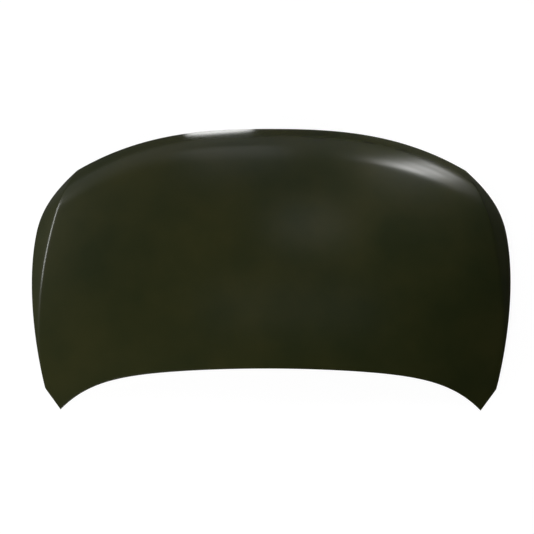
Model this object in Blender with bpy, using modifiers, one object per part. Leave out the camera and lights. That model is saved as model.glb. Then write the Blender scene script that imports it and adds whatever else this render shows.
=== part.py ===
"""Car bonnet: a steel skin hemmed over a pressed inner frame, with hinge and latch reinforcements.

The bonnet lies skin up, as it would come to rest on a floor. X runs across the car, +Y points
to the nose, -Y to the windscreen, and z = 0 is the floor under its lowest edges.
"""

import math

import bmesh
import bpy
from mathutils import Matrix, Vector
from mathutils.bvhtree import BVHTree
from mathutils.geometry import delaunay_2d_cdt

# Outline in plan, in metres
LENGTH = 0.870
TIP_X = 0.612
COWL_DEPTH = 0.100
COWL_SWEEP = 0.0725
COWL_SWEEP_POWER = 7.0
SHOULDER_X = 0.660
SHOULDER_RISE = 0.0615
NOSE_CORNER_X = 0.605
NOSE_SWEEP = 0.1175
NOSE_SWEEP_POWER = 2.9
EDGE_REAR_HANDLE = (0.028, 0.0885)
EDGE_FRONT_HANDLE = (0.211, -0.1045)
CREASE_REAR_HANDLE = (0.045, 0.1355)
CREASE_FRONT_HANDLE = (0.098, -0.2695)

# Skin surface
LONG_RADIUS = 2.4
CROSS_DROP = 0.0624
CROWN_FROM_NOSE = 0.229
ROLL_WIDTH = 0.130
NOSE_EDGE_SLOPE = math.radians(41.0)
FLANK_FALL = 0.70

# Sheet metal and its hem
SKIN = 0.0007
INNER = 0.0007
GAP = 0.0003
HEM_RETURN = 0.010
HEM_RETURN_MIN = 0.005
FLANGE = 0.014
FLANGE_EDGE_GAP = 0.0006

# Pressed inner frame
PAN_DEPTH = 0.022
PAN_WALL_RUN = 0.010
PAN_FLOOR_CLEARANCE = 0.004
COWL_BAND = 0.088
SIDE_BAND = 0.075
NOSE_BAND = 0.105
WINDOW_WALL_RUN = 0.012
WINDOW_RIM = 0.010
RIM_DEPTH = 0.0045
WINDOW_RADIUS = 0.034
WINDOW_SHORTEST_SIDE = 0.030
LONGEST_STRETCH = 0.100
V_RIB_INSIDE_TIP = 0.092
V_RIB_AHEAD_OF_TIP = 0.135
V_RIB_NOSE_HALF_SPACING = 0.100
V_RIB_BEHIND_NOSE = 0.135
V_RIB_WIDTH = 0.068
CROSS_RIB_BEHIND_NOSE = 0.415
CROSS_RIB_WIDTH = 0.060
LAMP_RIB_HALF_SPACING = 0.300
LAMP_RIB_INSIDE_NOSE_CORNER = 0.085
LAMP_RIB_AHEAD_OF_NOSE_CORNER = 0.0125
LAMP_RIB_WIDTH = 0.056
LOCATING_HOLE = 0.018

# Hinge and latch seats
HINGE_INSIDE_TIP = 0.082
HINGE_AHEAD_OF_TIP = 0.130
HINGE_PAD = (0.104, 0.046)
HINGE_BOLT_SPACING = 0.056
HINGE_BOLT_HOLE = 0.009
HINGE_ZONE = 0.095
LATCH_BEHIND_NOSE = 0.135
LATCH_PAD = (0.150, 0.060)
LATCH_ZONE = 0.070
PAD_STEP = 0.002
PAD_WALL_RUN = 0.004
PAD_RADIUS = 0.014
PLATE = 0.0016
PLATE_MARGIN = 0.004
NUT_ACROSS_FLATS = 0.013
NUT_HEIGHT = 0.0065
NUT_BORE = 0.008
STRIKER_PLATE = (0.076, 0.040)
STRIKER_PLATE_THICKNESS = 0.0025
STRIKER_ROD = 0.008
STRIKER_SPREAD = 0.044
STRIKER_DROP = 0.034
STRIKER_BEND = 0.012

# Mastic dabs between the window rims and the skin
MASTIC_DIAMETER = 0.008

# Mesh stations
COWL_STATIONS = 12
SIDE_STATIONS = 18
COWL_CROWDING = 1.2
NOSE_CROWDING = 1.5
ARC_STEPS = 4
HOLE_SIDES = 16
INSIDE_LINKS = 1
FILL_TOLERANCE = 1e-6

HALF_LENGTH = LENGTH / 2
COWL_Y = COWL_DEPTH - HALF_LENGTH
SHOULDER = Vector((SHOULDER_X, SHOULDER_RISE - HALF_LENGTH))
NOSE_CORNER = Vector((NOSE_CORNER_X, HALF_LENGTH - NOSE_SWEEP))
HEM_STACK = 2 * SKIN + INNER + 2 * GAP
CROWN_Y = HALF_LENGTH - CROWN_FROM_NOSE
HINGE_SEAT = (TIP_X - HINGE_INSIDE_TIP, HINGE_AHEAD_OF_TIP - HALF_LENGTH)
LATCH_SEAT_Y = HALF_LENGTH - LATCH_BEHIND_NOSE
CROSS_RIB_Y = HALF_LENGTH - CROSS_RIB_BEHIND_NOSE
V_RIB_REAR = (TIP_X - V_RIB_INSIDE_TIP, V_RIB_AHEAD_OF_TIP - HALF_LENGTH)
V_RIB_FRONT = (V_RIB_NOSE_HALF_SPACING, HALF_LENGTH - V_RIB_BEHIND_NOSE)
LAMP_RIB_REAR = (LAMP_RIB_HALF_SPACING, CROSS_RIB_Y)
LAMP_RIB_FRONT = (
    NOSE_CORNER_X - LAMP_RIB_INSIDE_NOSE_CORNER, NOSE_CORNER.y + LAMP_RIB_AHEAD_OF_NOSE_CORNER)


def cowl_y(x):
    """The windscreen edge: a gentle bow that sweeps back into the corner tips."""
    share = abs(x) / TIP_X
    bow = COWL_DEPTH - COWL_SWEEP
    return COWL_Y - bow * share ** 2 - COWL_SWEEP * share ** COWL_SWEEP_POWER


def nose_y(x):
    """The nose edge, which bows forward between the two nose corners."""
    return HALF_LENGTH - NOSE_SWEEP * (abs(x) / NOSE_CORNER_X) ** NOSE_SWEEP_POWER


def side_curve(t, rear_handle, front_handle):
    """A cubic curve from the rear shoulder to the nose corner."""
    rear = SHOULDER + Vector(rear_handle)
    front = NOSE_CORNER + Vector(front_handle)
    s = 1 - t
    return s ** 3 * SHOULDER + 3 * s * s * t * rear + 3 * s * t * t * front + t ** 3 * NOSE_CORNER


def edge_point(t):
    return side_curve(t, EDGE_REAR_HANDLE, EDGE_FRONT_HANDLE)


def crease_x(y):
    """Half width of the crease line at y, found by halving the curve's parameter."""
    low, high = 0.0, 1.0
    for _ in range(26):
        middle = (low + high) / 2
        if side_curve(middle, CREASE_REAR_HANDLE, CREASE_FRONT_HANDLE).y < y:
            low = middle
        else:
            high = middle
    return side_curve(low, CREASE_REAR_HANDLE, CREASE_FRONT_HANDLE).x


def skin_fall(x, y):
    """How far the skin lies below its crown: long bow, cross bow, nose roll and flank."""
    x = abs(x)
    fall = (y - CROWN_Y) ** 2 / (2 * LONG_RADIUS) + CROSS_DROP * (x / TIP_X) ** 2
    start_slope = (HALF_LENGTH - ROLL_WIDTH - CROWN_Y) / LONG_RADIUS
    roll = (math.tan(NOSE_EDGE_SLOPE) - start_slope) / (2 * ROLL_WIDTH)
    into_roll = max(0.0, ROLL_WIDTH - (nose_y(x) - y))
    fall += roll * into_roll ** 2
    if SHOULDER.y < y < NOSE_CORNER.y:
        fall += FLANK_FALL * max(0.0, x - crease_x(y))
    return fall


def crowd(share, power):
    """Spread stations from 0 to 1 so that they lie closer together towards 1."""
    return 1 - (1 - share) ** power


def half_outline():
    """The right half of the plan outline, from the middle of the cowl round to the nose."""
    across = [crowd(i / COWL_STATIONS, COWL_CROWDING) for i in range(COWL_STATIONS + 1)]
    cowl = [Vector((TIP_X * share, cowl_y(TIP_X * share))) for share in across]
    along = range(SIDE_STATIONS)
    side = [edge_point(crowd(i / (SIDE_STATIONS - 1), NOSE_CROWDING)) for i in along]
    nose = [Vector((NOSE_CORNER_X * share, nose_y(NOSE_CORNER_X * share))) for share in across[:-1]]
    return cowl + side + nose[::-1]


def inward(points, i, closed):
    """The inward mitre at a point: offset by this vector times a distance keeps a wall even."""
    count = len(points)
    before = points[(i - 1) % count]
    after = points[(i + 1) % count]
    if not closed and i == 0:
        before = Vector((-points[1].x, points[1].y))
    if not closed and i == count - 1:
        after = Vector((-points[-2].x, points[-2].y))
    first = (points[i] - before).normalized()
    second = (after - points[i]).normalized()
    normal_one = Vector((-first.y, first.x))
    normal_two = Vector((-second.y, second.x))
    return (normal_one + normal_two) / (1 + normal_one.dot(normal_two))


def inset(points, distances, closed=False):
    """Move every point of an outline inward by its distance."""
    if isinstance(distances, float):
        distances = [distances] * len(points)
    return [p + inward(points, i, closed) * distances[i] for i, p in enumerate(points)]


def crease_distance(points, i):
    """Distance from an edge point, straight inward, to the crease; 0 where there is no flank."""
    direction = inward(points, i, False)
    start = points[i]
    if not SHOULDER.y < start.y < NOSE_CORNER.y or start.x < NOSE_CORNER_X:
        return 0.0
    low, high = 0.0, 0.12
    for _ in range(26):
        middle = (low + high) / 2
        probe = start + direction * middle
        if probe.y < NOSE_CORNER.y and probe.x > crease_x(probe.y):
            low = middle
        else:
            high = middle
    return low


LOWEST = max(skin_fall(p.x, p.y) for p in half_outline())
CROWN_Z = LOWEST + HEM_STACK


def skin_z(x, y):
    return CROWN_Z - skin_fall(x, y)


def frame_z(x, y, depth):
    """Height of the inner frame at a depth below the skin, kept off the floor at the tips."""
    top = skin_z(x, y)
    return top - min(depth, top - PAN_FLOOR_CLEARANCE)


def collection(name):
    made = bpy.data.collections.new(name)
    bpy.context.scene.collection.children.link(made)
    return made


def material(name, colour, roughness, metallic):
    made = bpy.data.materials.new(name)
    made.use_nodes = True
    shader = made.node_tree.nodes["Principled BSDF"]
    shader.inputs["Base Color"].default_value = (*colour, 1.0)
    shader.inputs["Roughness"].default_value = roughness
    shader.inputs["Metallic"].default_value = metallic
    made.diffuse_color = (*colour, 1.0)
    return made


def add_part(name, data):
    """A sub-part, placed with the whole bonnet by the empty at its base."""
    made = bpy.data.objects.new(name, data)
    made.parent = BASE
    PARTS.objects.link(made)
    return made


def mesh_object(name, bm, finish, smooth_angle=30.0):
    mesh = bpy.data.meshes.new(name)
    bm.to_mesh(mesh)
    bm.free()
    mesh.shade_smooth()
    mesh.set_sharp_from_angle(angle=math.radians(smooth_angle))
    mesh.materials.append(finish)
    return add_part(name, mesh)


def mirror_and_thicken(piece, thickness):
    """Complete a right half across the car's middle, then give the sheet its thickness."""
    mirror = piece.modifiers.new("Mirror", "MIRROR")
    mirror.use_clip = True
    mirror.merge_threshold = 0.00005
    sheet = piece.modifiers.new("Sheet", "SOLIDIFY")
    sheet.thickness = thickness
    sheet.offset = -1.0
    sheet.use_even_offset = True
    sheet.use_quality_normals = True


def row(bm, points, height):
    return [bm.verts.new((p.x, p.y, height(p.x, p.y))) for p in points]


def strip(bm, outer, inner, closed=False, fold=""):
    """Join two rows with a strip of faces, split along one diagonal where sheets must nest."""
    count = len(outer) if closed else len(outer) - 1
    for i in range(count):
        j = (i + 1) % len(outer)
        corners = (outer[i], outer[j], inner[j], inner[i])
        if fold == "rising":
            bm.faces.new(corners[:3])
            bm.faces.new((corners[0], corners[2], corners[3]))
        elif fold == "falling":
            bm.faces.new((corners[0], corners[1], corners[3]))
            bm.faces.new(corners[1:])
        else:
            bm.faces.new(corners)


def blend(share, first, second):
    return first * (1 - share) + second * share


def panel_rows():
    """Plan rows of the edge band: the edge, the hem's return and the flange's inner line."""
    edge = half_outline()
    strip_width = [crease_distance(edge, i) for i in range(len(edge))]
    corner = COWL_STATIONS + SIDE_STATIONS
    hem = []
    flange = []
    for i, width in enumerate(strip_width):
        on_flank = COWL_STATIONS + 1 < i < corner
        hem.append(min(max(width, HEM_RETURN_MIN), HEM_RETURN) if on_flank else HEM_RETURN)
        flange.append(max(width, FLANGE))
    return edge, inset(edge, hem), inset(edge, flange), hem


def fill_patch(bm, border):
    """Fill the skin inside the edge band with a patch blended from its four sides."""
    rear = border[:COWL_STATIONS + 1]
    right = border[COWL_STATIONS:COWL_STATIONS + SIDE_STATIONS + 1]
    front = border[COWL_STATIONS + SIDE_STATIONS:][::-1]
    grid = [rear]
    for j in range(1, SIDE_STATIONS):
        v = crowd(j / SIDE_STATIONS, NOSE_CROWDING)
        left = blend(v, rear[0].co, front[0].co)
        line = []
        for i in range(COWL_STATIONS):
            u = crowd(i / COWL_STATIONS, COWL_CROWDING)
            across = blend(u, left, right[j].co)
            along = blend(v, rear[i].co, front[i].co)
            corners = blend(v, blend(u, rear[0].co, rear[-1].co), blend(u, front[0].co, front[-1].co))
            spot = across + along - corners
            line.append(bm.verts.new((spot.x, spot.y, skin_z(spot.x, spot.y))))
        grid.append(line + [right[j]])
    grid.append(front)
    for lower, upper in zip(grid, grid[1:]):
        strip(bm, lower, upper)


def below(vertex, depth):
    """The point at an even depth under the skin's outer face."""
    return vertex.co - vertex.normal * vertex.calc_shell_factor() * depth


def panel_mesh():
    """The outer face of the right half: edge band and patch, with no hem."""
    bm = bmesh.new()
    edge, hem, flange, hem_widths = panel_rows()
    rows = [row(bm, points, skin_z) for points in (edge, hem, flange)]
    strip(bm, rows[0], rows[1], fold="rising")
    strip(bm, rows[1], rows[2], fold="rising")
    fill_patch(bm, rows[2])
    mirror_seam_normals(bm)
    return bm, rows, hem_widths


def mirror_seam_normals(bm):
    """Make the normals on the car's middle upright across it, as on the whole panel."""
    bm.normal_update()
    for vertex in bm.verts:
        if abs(vertex.co.x) < 1e-7:
            upright = Vector((0.0, vertex.normal.y, vertex.normal.z)).normalized()
            vertex.normal = upright


def outer_skin():
    """The painted outer panel with its edge folded round and back under the inner frame."""
    bm, (edge, hem, flange), hem_widths = panel_mesh()
    fold_radius = HEM_STACK / 2
    nose = []
    under = []
    back = []
    for corner, inner, width in zip(edge, hem, hem_widths):
        outward = (corner.co - inner.co) * (fold_radius / width)
        nose.append(below(corner, fold_radius) + outward)
        under.append(below(corner, HEM_STACK))
        back.append(below(inner, HEM_STACK))
    folded = [[bm.verts.new(p) for p in points] for points in (back, under, nose)]
    strip(bm, folded[0], folded[1], fold="falling")
    strip(bm, folded[1], folded[2])
    strip(bm, folded[2], edge)
    skin = mesh_object("outer_skin", bm, material("primer", (0.028, 0.030, 0.016), 0.36, 0.0))
    mirror_and_thicken(skin, SKIN)
    return skin


def line_sides(start, end, width):
    """The two sides of a rib as cutting lines: a point on each and the normal to its left."""
    start = Vector(start)
    along = (Vector(end) - start).normalized()
    left = Vector((-along.y, along.x))
    half = width / 2
    return (start + left * half, left), (start - left * half, -left)


def clip(polygon, point, normal):
    """Keep the part of a polygon that lies on the normal's side of a line."""
    kept = []
    for a, b in zip(polygon, polygon[1:] + polygon[:1]):
        da = (a - point).dot(normal)
        db = (b - point).dot(normal)
        if da >= 0:
            kept.append(a)
        if da * db < 0:
            kept.append(blend(da / (da - db), a, b))
    return kept


def window_field():
    """The plan area inside the frame's edge channels, for the windows to be cut from."""
    rear = [TIP_X * share for share in (0.0, 0.25, 0.5, 0.75)]
    front = [NOSE_CORNER_X * share for share in (0.84, 0.6, 0.3, 0.0)]
    side = [blend(share, SHOULDER.y, NOSE_CORNER.y) for share in (0.16, 0.36, 0.56, 0.76)]
    points = [Vector((x, cowl_y(x) + COWL_BAND)) for x in rear]
    points += [Vector((crease_x(y) - SIDE_BAND, y)) for y in side]
    points += [Vector((x, nose_y(x) - NOSE_BAND)) for x in front]
    return points


def window_shapes():
    """The five windows of the right half; the two on the middle are open at x = 0."""
    field = window_field()
    inside_v, outside_v = reversed(line_sides(V_RIB_FRONT, V_RIB_REAR, V_RIB_WIDTH))
    left_lamp, right_lamp = line_sides(LAMP_RIB_REAR, LAMP_RIB_FRONT, LAMP_RIB_WIDTH)
    half_cross = CROSS_RIB_WIDTH / 2
    rearward = (Vector((0.0, CROSS_RIB_Y - half_cross)), Vector((0.0, -1.0)))
    forward = (Vector((0.0, CROSS_RIB_Y + half_cross)), Vector((0.0, 1.0)))
    behind_latch = (Vector((0.0, LATCH_SEAT_Y - LATCH_ZONE)), Vector((0.0, -1.0)))
    ahead_of_hinge = (Vector((0.0, HINGE_SEAT[1] + HINGE_ZONE)), Vector((0.0, 1.0)))
    cuts = (
        (inside_v, rearward),
        (inside_v, forward, behind_latch),
        (outside_v, rearward, ahead_of_hinge),
        (outside_v, forward, left_lamp),
        (outside_v, forward, right_lamp),
    )
    shapes = []
    for lines in cuts:
        shape = field
        for point, normal in lines:
            shape = clip(shape, point, normal)
        shapes.append(open_at_middle(shape))
    return shapes


def open_at_middle(shape):
    """Turn a shape that has a side on x = 0 into an open line from one end of it to the other."""
    on_middle = [abs(p.x) < 1e-6 for p in shape]
    if not any(on_middle):
        return shape, True
    while not (on_middle[0] and on_middle[-1]):
        shape = shape[1:] + shape[:1]
        on_middle = on_middle[1:] + on_middle[:1]
    return shape, False


def turn(points, i):
    """The corner's change of direction, in radians."""
    count = len(points)
    first = points[i] - points[(i - 1) % count]
    second = points[(i + 1) % count] - points[i]
    return abs(first.angle(second))


def is_corner(points, i, closed):
    if not closed and i in (0, len(points) - 1):
        return False
    return turn(points, i) > math.radians(18)


def without_short_sides(points, closed):
    """Where two points of an outline lie very close, keep the sharper one."""
    points = list(points)
    i = 0
    while i < (len(points) if closed else len(points) - 1):
        j = (i + 1) % len(points)
        if (points[j] - points[i]).length > WINDOW_SHORTEST_SIDE:
            i += 1
            continue
        free = [k for k in (i, j) if closed or 0 < k < len(points) - 1]
        del points[min(free, key=lambda k: turn(points, k))]
        i = max(0, i - 1)
    return points


def without_crowded(points, closed):
    """Drop the gentle points of an outline that lie close to one of its corners."""
    corners = [p for i, p in enumerate(points) if is_corner(points, i, closed)]
    kept = []
    for i, p in enumerate(points):
        near = min((p - c).length for c in corners)
        end = not closed and i in (0, len(points) - 1)
        if near < 1e-9 or near > 1.5 * WINDOW_RADIUS or end:
            kept.append(p)
    return kept


def rounded(points, corners, radius, closed):
    """Replace an outline's corners with arcs, smaller where a side is short."""
    result = []
    count = len(points)
    for i, p in enumerate(points):
        if not corners[i]:
            result.append(p)
            continue
        back = points[(i - 1) % count] - p
        ahead = points[(i + 1) % count] - p
        half_turn = turn(points, i) / 2
        reach = min(radius * math.tan(half_turn), 0.45 * back.length, 0.45 * ahead.length)
        start = p + back.normalized() * reach
        end = p + ahead.normalized() * reach
        for step in range(ARC_STEPS + 1):
            t = step / ARC_STEPS
            weight = math.cos(half_turn)
            top = (1 - t) ** 2 * start + 2 * t * (1 - t) * weight * p + t * t * end
            result.append(top / ((1 - t) ** 2 + 2 * t * (1 - t) * weight + t * t))
    return result


def window_loops(shape, closed):
    """The foot of a window's wall, its top and the rim's free edge, point for point."""
    shape = without_crowded(without_short_sides(shape, closed), closed)
    corners = [is_corner(shape, i, closed) for i in range(len(shape))]
    loops = []
    for distance in (0.0, WINDOW_WALL_RUN, WINDOW_WALL_RUN + WINDOW_RIM):
        moved = inset(shape, distance, closed)
        loops.append(rounded(moved, corners, WINDOW_RADIUS - distance, closed))
    return loops


def with_stations(loops, closed):
    """Split the long stretches of matching loops alike, so that they follow the dome."""
    split = [[] for _ in loops]
    for i, (start, end) in enumerate(loop_edges(loops[0], closed)):
        j = (i + 1) % len(loops[0])
        steps = math.ceil((end - start).length / LONGEST_STRETCH)
        for loop, made in zip(loops, split):
            made += [blend(step / steps, loop[i], loop[j]) for step in range(steps)]
    if not closed:
        for loop, made in zip(loops, split):
            made.append(loop[-1])
    return split


def rounded_rectangle(centre, size, radius, closed=True):
    """A rounded rectangle, anticlockwise; not closed, it is the right half, open at its middle."""
    x, y = centre
    half_x, half_y = size[0] / 2, size[1] / 2
    left = x - half_x if closed else x
    right = x + half_x
    spots = ((left, y - half_y), (right, y - half_y), (right, y + half_y), (left, y + half_y))
    points = [Vector(spot) for spot in spots]
    corners = [is_corner(points, i, closed) for i in range(len(points))]
    return rounded(points, corners, radius, closed)


def circle(centre, diameter):
    angles = [2 * math.pi * i / HOLE_SIDES for i in range(HOLE_SIDES)]
    return [Vector(centre) + Vector((math.cos(a), math.sin(a))) * (diameter / 2) for a in angles]


class SeatPlane:
    """The flat seat pressed into the frame's floor: it touches the floor's slope at its centre."""

    def __init__(self, centre):
        x, y = centre
        step = 0.002
        self.centre = centre
        self.slope_x = (skin_z(x + step, y) - skin_z(x - step, y)) / (2 * step)
        self.slope_y = (skin_z(x, y + step) - skin_z(x, y - step)) / (2 * step)
        self.height = frame_z(x, y, PAN_DEPTH + PAD_STEP)
        self.normal = Vector((-self.slope_x, -self.slope_y, 1.0)).normalized()

    def z(self, x, y):
        return self.height + self.slope_x * (x - self.centre[0]) + self.slope_y * (y - self.centre[1])

    def point(self, x, y, lift):
        """A point of the seat moved along its normal."""
        return Vector((x, y, self.z(x, y))) + self.normal * lift


def hinge_bolts(side):
    """The two bolt centres of a hinge, side by side across the car."""
    x, y = HINGE_SEAT
    return [(side * (x + end * HINGE_BOLT_SPACING / 2), y) for end in (-1, 1)]


def loop_edges(vertices, closed):
    pairs = list(zip(vertices, vertices[1:]))
    if closed:
        pairs.append((vertices[-1], vertices[0]))
    return pairs


def is_between(spot, links):
    """Whether a spot lies between outlines: a line across the car then meets an odd number of them."""
    met = 0
    for a, b in links:
        if (a.y > spot.y) != (b.y > spot.y):
            met += blend((spot.y - a.y) / (b.y - a.y), a.x, b.x) > spot.x
    return met % 2 == 1


def fill(bm, chains):
    """Fill the area between closed chains of corners with triangles, as seen from above."""
    corners = list(dict.fromkeys(corner for link in chains for corner in link))
    places = {corner: place for place, corner in enumerate(corners)}
    spots = [corner.co.xy for corner in corners]
    links = [(places[a], places[b]) for a, b in chains]
    result = delaunay_2d_cdt(spots, links, [], INSIDE_LINKS, FILL_TOLERANCE)
    triangles, sources = result[2], result[3]
    outlines = [(a.co, b.co) for a, b in chains]
    for triangle in triangles:
        found = [corners[sources[k][0]] for k in triangle]
        if is_between(sum((corner.co for corner in found), Vector()) / 3, outlines):
            bm.faces.new(found)


def seat(bm, centre, size, holes, closed):
    """Press a flat seat with its holes, and return its foot on the frame's floor."""
    plane = SeatPlane(centre)
    foot_size = (size[0] + 2 * PAD_WALL_RUN, size[1] + 2 * PAD_WALL_RUN)
    foot = rounded_rectangle(centre, foot_size, PAD_RADIUS + PAD_WALL_RUN, closed)
    top = rounded_rectangle(centre, size, PAD_RADIUS, closed)
    foot_row = row(bm, foot, lambda x, y: frame_z(x, y, PAN_DEPTH))
    top_row = row(bm, top, plane.z)
    strip(bm, foot_row, top_row, closed)
    chains = loop_edges(top_row, closed)
    if not closed:
        chains.append((top_row[-1], top_row[0]))
    for hole in holes:
        chains += loop_edges(row(bm, circle(hole, HINGE_BOLT_HOLE), plane.z), True)
    fill(bm, chains)
    return foot_row


def flange_rows(bm):
    """The frame's flange inside the hem, set off from the same corners as the skin."""
    panel, (edge, hem, flange), hem_widths = panel_mesh()
    depth = SKIN + GAP
    outer = []
    for corner, inner, width in zip(edge, hem, hem_widths):
        outer.append(blend(FLANGE_EDGE_GAP / width, below(corner, depth), below(inner, depth)))
    middle = [below(v, depth) for v in hem]
    top = [below(v, depth) for v in flange]
    plan = [v.co.xy for v in flange]
    panel.free()
    return [[bm.verts.new(p) for p in points] for points in (outer, middle, top)], plan


def locating_holes():
    """Round holes on the V rib that hold the frame during assembly."""
    rear = Vector(V_RIB_REAR)
    front = Vector(V_RIB_FRONT)
    return [blend(share, rear, front) for share in (0.32, 0.72)]


def inner_frame():
    """One pressing: hem flange, edge channel, V ribs, cross rib, windows and seats."""
    bm = bmesh.new()
    rows, plan = flange_rows(bm)
    foot = row(bm, inset(plan, PAN_WALL_RUN), lambda x, y: frame_z(x, y, PAN_DEPTH))
    rows.append(foot)
    for outer, inner in zip(rows, rows[1:]):
        strip(bm, outer, inner, fold="rising")
    chains = loop_edges(foot, False)
    on_middle = []
    rims = []
    for shape, closed in window_shapes():
        loops = window_loops(shape, closed)
        rims.append(rim_spots(loops[1], loops[2]))
        loops = with_stations(loops, closed)
        base = row(bm, loops[0], lambda x, y: frame_z(x, y, PAN_DEPTH))
        top = row(bm, loops[1], lambda x, y: frame_z(x, y, RIM_DEPTH))
        rim = row(bm, loops[2], lambda x, y: frame_z(x, y, RIM_DEPTH))
        strip(bm, base, top, closed)
        strip(bm, top, rim, closed)
        chains += loop_edges(base, closed)
        if not closed:
            on_middle.append((base[0], base[-1]))
    latch = seat(bm, (0.0, LATCH_SEAT_Y), LATCH_PAD, (), False)
    chains += loop_edges(latch, False)
    on_middle.append((latch[0], latch[-1]))
    hinge = seat(bm, HINGE_SEAT, HINGE_PAD, hinge_bolts(1), True)
    chains += loop_edges(hinge, True)
    for centre in locating_holes():
        ring = row(bm, circle(centre, LOCATING_HOLE), lambda x, y: frame_z(x, y, PAN_DEPTH))
        chains += loop_edges(ring, True)
    chains += middle_links(foot, on_middle)
    fill(bm, chains)
    frame = mesh_object("inner_frame", bm, material("inner_primer", (0.022, 0.024, 0.014), 0.45, 0.0))
    mirror_and_thicken(frame, INNER)
    return frame, rims


def middle_links(foot, openings):
    """Edges along x = 0 that close the floor between the shapes cut into it."""
    ends = []
    for pair in openings:
        ends += sorted(pair, key=lambda v: v.co.y)
    ends = [foot[0]] + sorted(ends, key=lambda v: v.co.y) + [foot[-1]]
    return list(zip(ends[::2], ends[1::2]))


def rim_spots(top, rim):
    """Middles of the two longest stretches of a window's rim, where the mastic sits."""
    stretches = []
    for i in range(len(top) - 1):
        middle = (top[i] + top[i + 1] + rim[i + 1] + rim[i]) / 4
        spot = Vector((middle.x, middle.y, frame_z(middle.x, middle.y, RIM_DEPTH)))
        stretches.append(((rim[i + 1] - rim[i]).length, spot))
    stretches.sort(key=lambda pair: -pair[0])
    return [spot for length, spot in stretches[:2]]


def curve_plate(name, outlines, thickness, finish):
    """A flat plate from a closed outline, with any further outlines as its holes."""
    curve = bpy.data.curves.new(name, "CURVE")
    curve.dimensions = "2D"
    curve.fill_mode = "BOTH"
    curve.extrude = thickness / 2
    for points in outlines:
        spline = curve.splines.new("POLY")
        spline.points.add(len(points) - 1)
        for slot, p in zip(spline.points, points):
            slot.co = (p.x, p.y, 0.0, 1.0)
        spline.use_cyclic_u = True
    curve.materials.append(finish)
    return add_part(name, curve)


def place_on_seat(piece, plane, side, x, y, lift):
    """Stand a piece on a seat, upright to it; side -1 is the mirrored seat."""
    spot = plane.point(x, y, lift)
    upright = Vector((side * plane.normal.x, plane.normal.y, plane.normal.z))
    across = Vector((1.0, 0.0, side * plane.slope_x)).normalized()
    along = upright.cross(across)
    piece.location = (side * spot.x, spot.y, spot.z)
    piece.rotation_euler = Matrix((across, along, upright)).transposed().to_euler()


def hinge_reinforcements(finish):
    plane = SeatPlane(HINGE_SEAT)
    size = (HINGE_PAD[0] - 2 * PLATE_MARGIN, HINGE_PAD[1] - 2 * PLATE_MARGIN)
    holes = [circle((end * HINGE_BOLT_SPACING / 2, 0.0), HINGE_BOLT_HOLE) for end in (-1, 1)]
    outline = rounded_rectangle((0.0, 0.0), size, PAD_RADIUS - PLATE_MARGIN)
    for label, side in (("left", -1), ("right", 1)):
        plate = curve_plate(f"hinge_reinforcement_{label}", [outline] + holes, PLATE, finish)
        place_on_seat(plate, plane, side, *HINGE_SEAT, GAP + PLATE / 2)


def weld_nut(name, finish):
    """A six-sided nut with its bore cut through."""
    bm = bmesh.new()
    corner_radius = NUT_ACROSS_FLATS / 2 / math.cos(math.pi / 6)
    bmesh.ops.create_cone(
        bm, cap_ends=True, segments=6, radius1=corner_radius, radius2=corner_radius, depth=NUT_HEIGHT)
    nut = mesh_object(name, bm, finish)
    bore = bmesh.new()
    bmesh.ops.create_cone(
        bore, cap_ends=True, segments=HOLE_SIDES, radius1=NUT_BORE / 2, radius2=NUT_BORE / 2,
        depth=2 * NUT_HEIGHT)
    mesh = bpy.data.meshes.new(f"{name}_bore")
    bore.to_mesh(mesh)
    bore.free()
    cutter = bpy.data.objects.new(f"{name}_bore", mesh)
    cutter.hide_render = True
    cutter.display_type = "WIRE"
    cutter.parent = nut
    CUTTERS.objects.link(cutter)
    cut = nut.modifiers.new("Bore", "BOOLEAN")
    cut.operation = "DIFFERENCE"
    cut.object = cutter
    return nut


def weld_nuts(finish):
    plane = SeatPlane(HINGE_SEAT)
    lift = GAP + PLATE + GAP + NUT_HEIGHT / 2
    for label, side in (("left", -1), ("right", 1)):
        for place, end in (("inner", -1), ("outer", 1)):
            nut = weld_nut(f"hinge_weld_nut_{label}_{place}", finish)
            along = end * HINGE_BOLT_SPACING / 2
            run = along * Vector((1.0, 0.0, plane.slope_x)).normalized().x
            place_on_seat(nut, plane, side, HINGE_SEAT[0] + run, HINGE_SEAT[1], lift)


def latch_group(finish, bright):
    """The latch reinforcement above the frame, and the striker below it."""
    plane = SeatPlane((0.0, LATCH_SEAT_Y))
    size = (LATCH_PAD[0] - 2 * PLATE_MARGIN, LATCH_PAD[1] - 2 * PLATE_MARGIN)
    outline = rounded_rectangle((0.0, 0.0), size, PAD_RADIUS - PLATE_MARGIN)
    top = curve_plate("latch_reinforcement", [outline], PLATE, finish)
    place_on_seat(top, plane, 1, 0.0, LATCH_SEAT_Y, GAP + PLATE / 2)
    outline = rounded_rectangle((0.0, 0.0), STRIKER_PLATE, PAD_RADIUS - PLATE_MARGIN)
    plate = curve_plate("striker_plate", [outline], STRIKER_PLATE_THICKNESS, bright)
    below_frame = -(INNER + GAP + STRIKER_PLATE_THICKNESS / 2)
    place_on_seat(plate, plane, 1, 0.0, LATCH_SEAT_Y, below_frame)
    rod = striker_loop(bright)
    place_on_seat(rod, plane, 1, 0.0, LATCH_SEAT_Y, below_frame - STRIKER_PLATE_THICKNESS / 2 - GAP)


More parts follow.
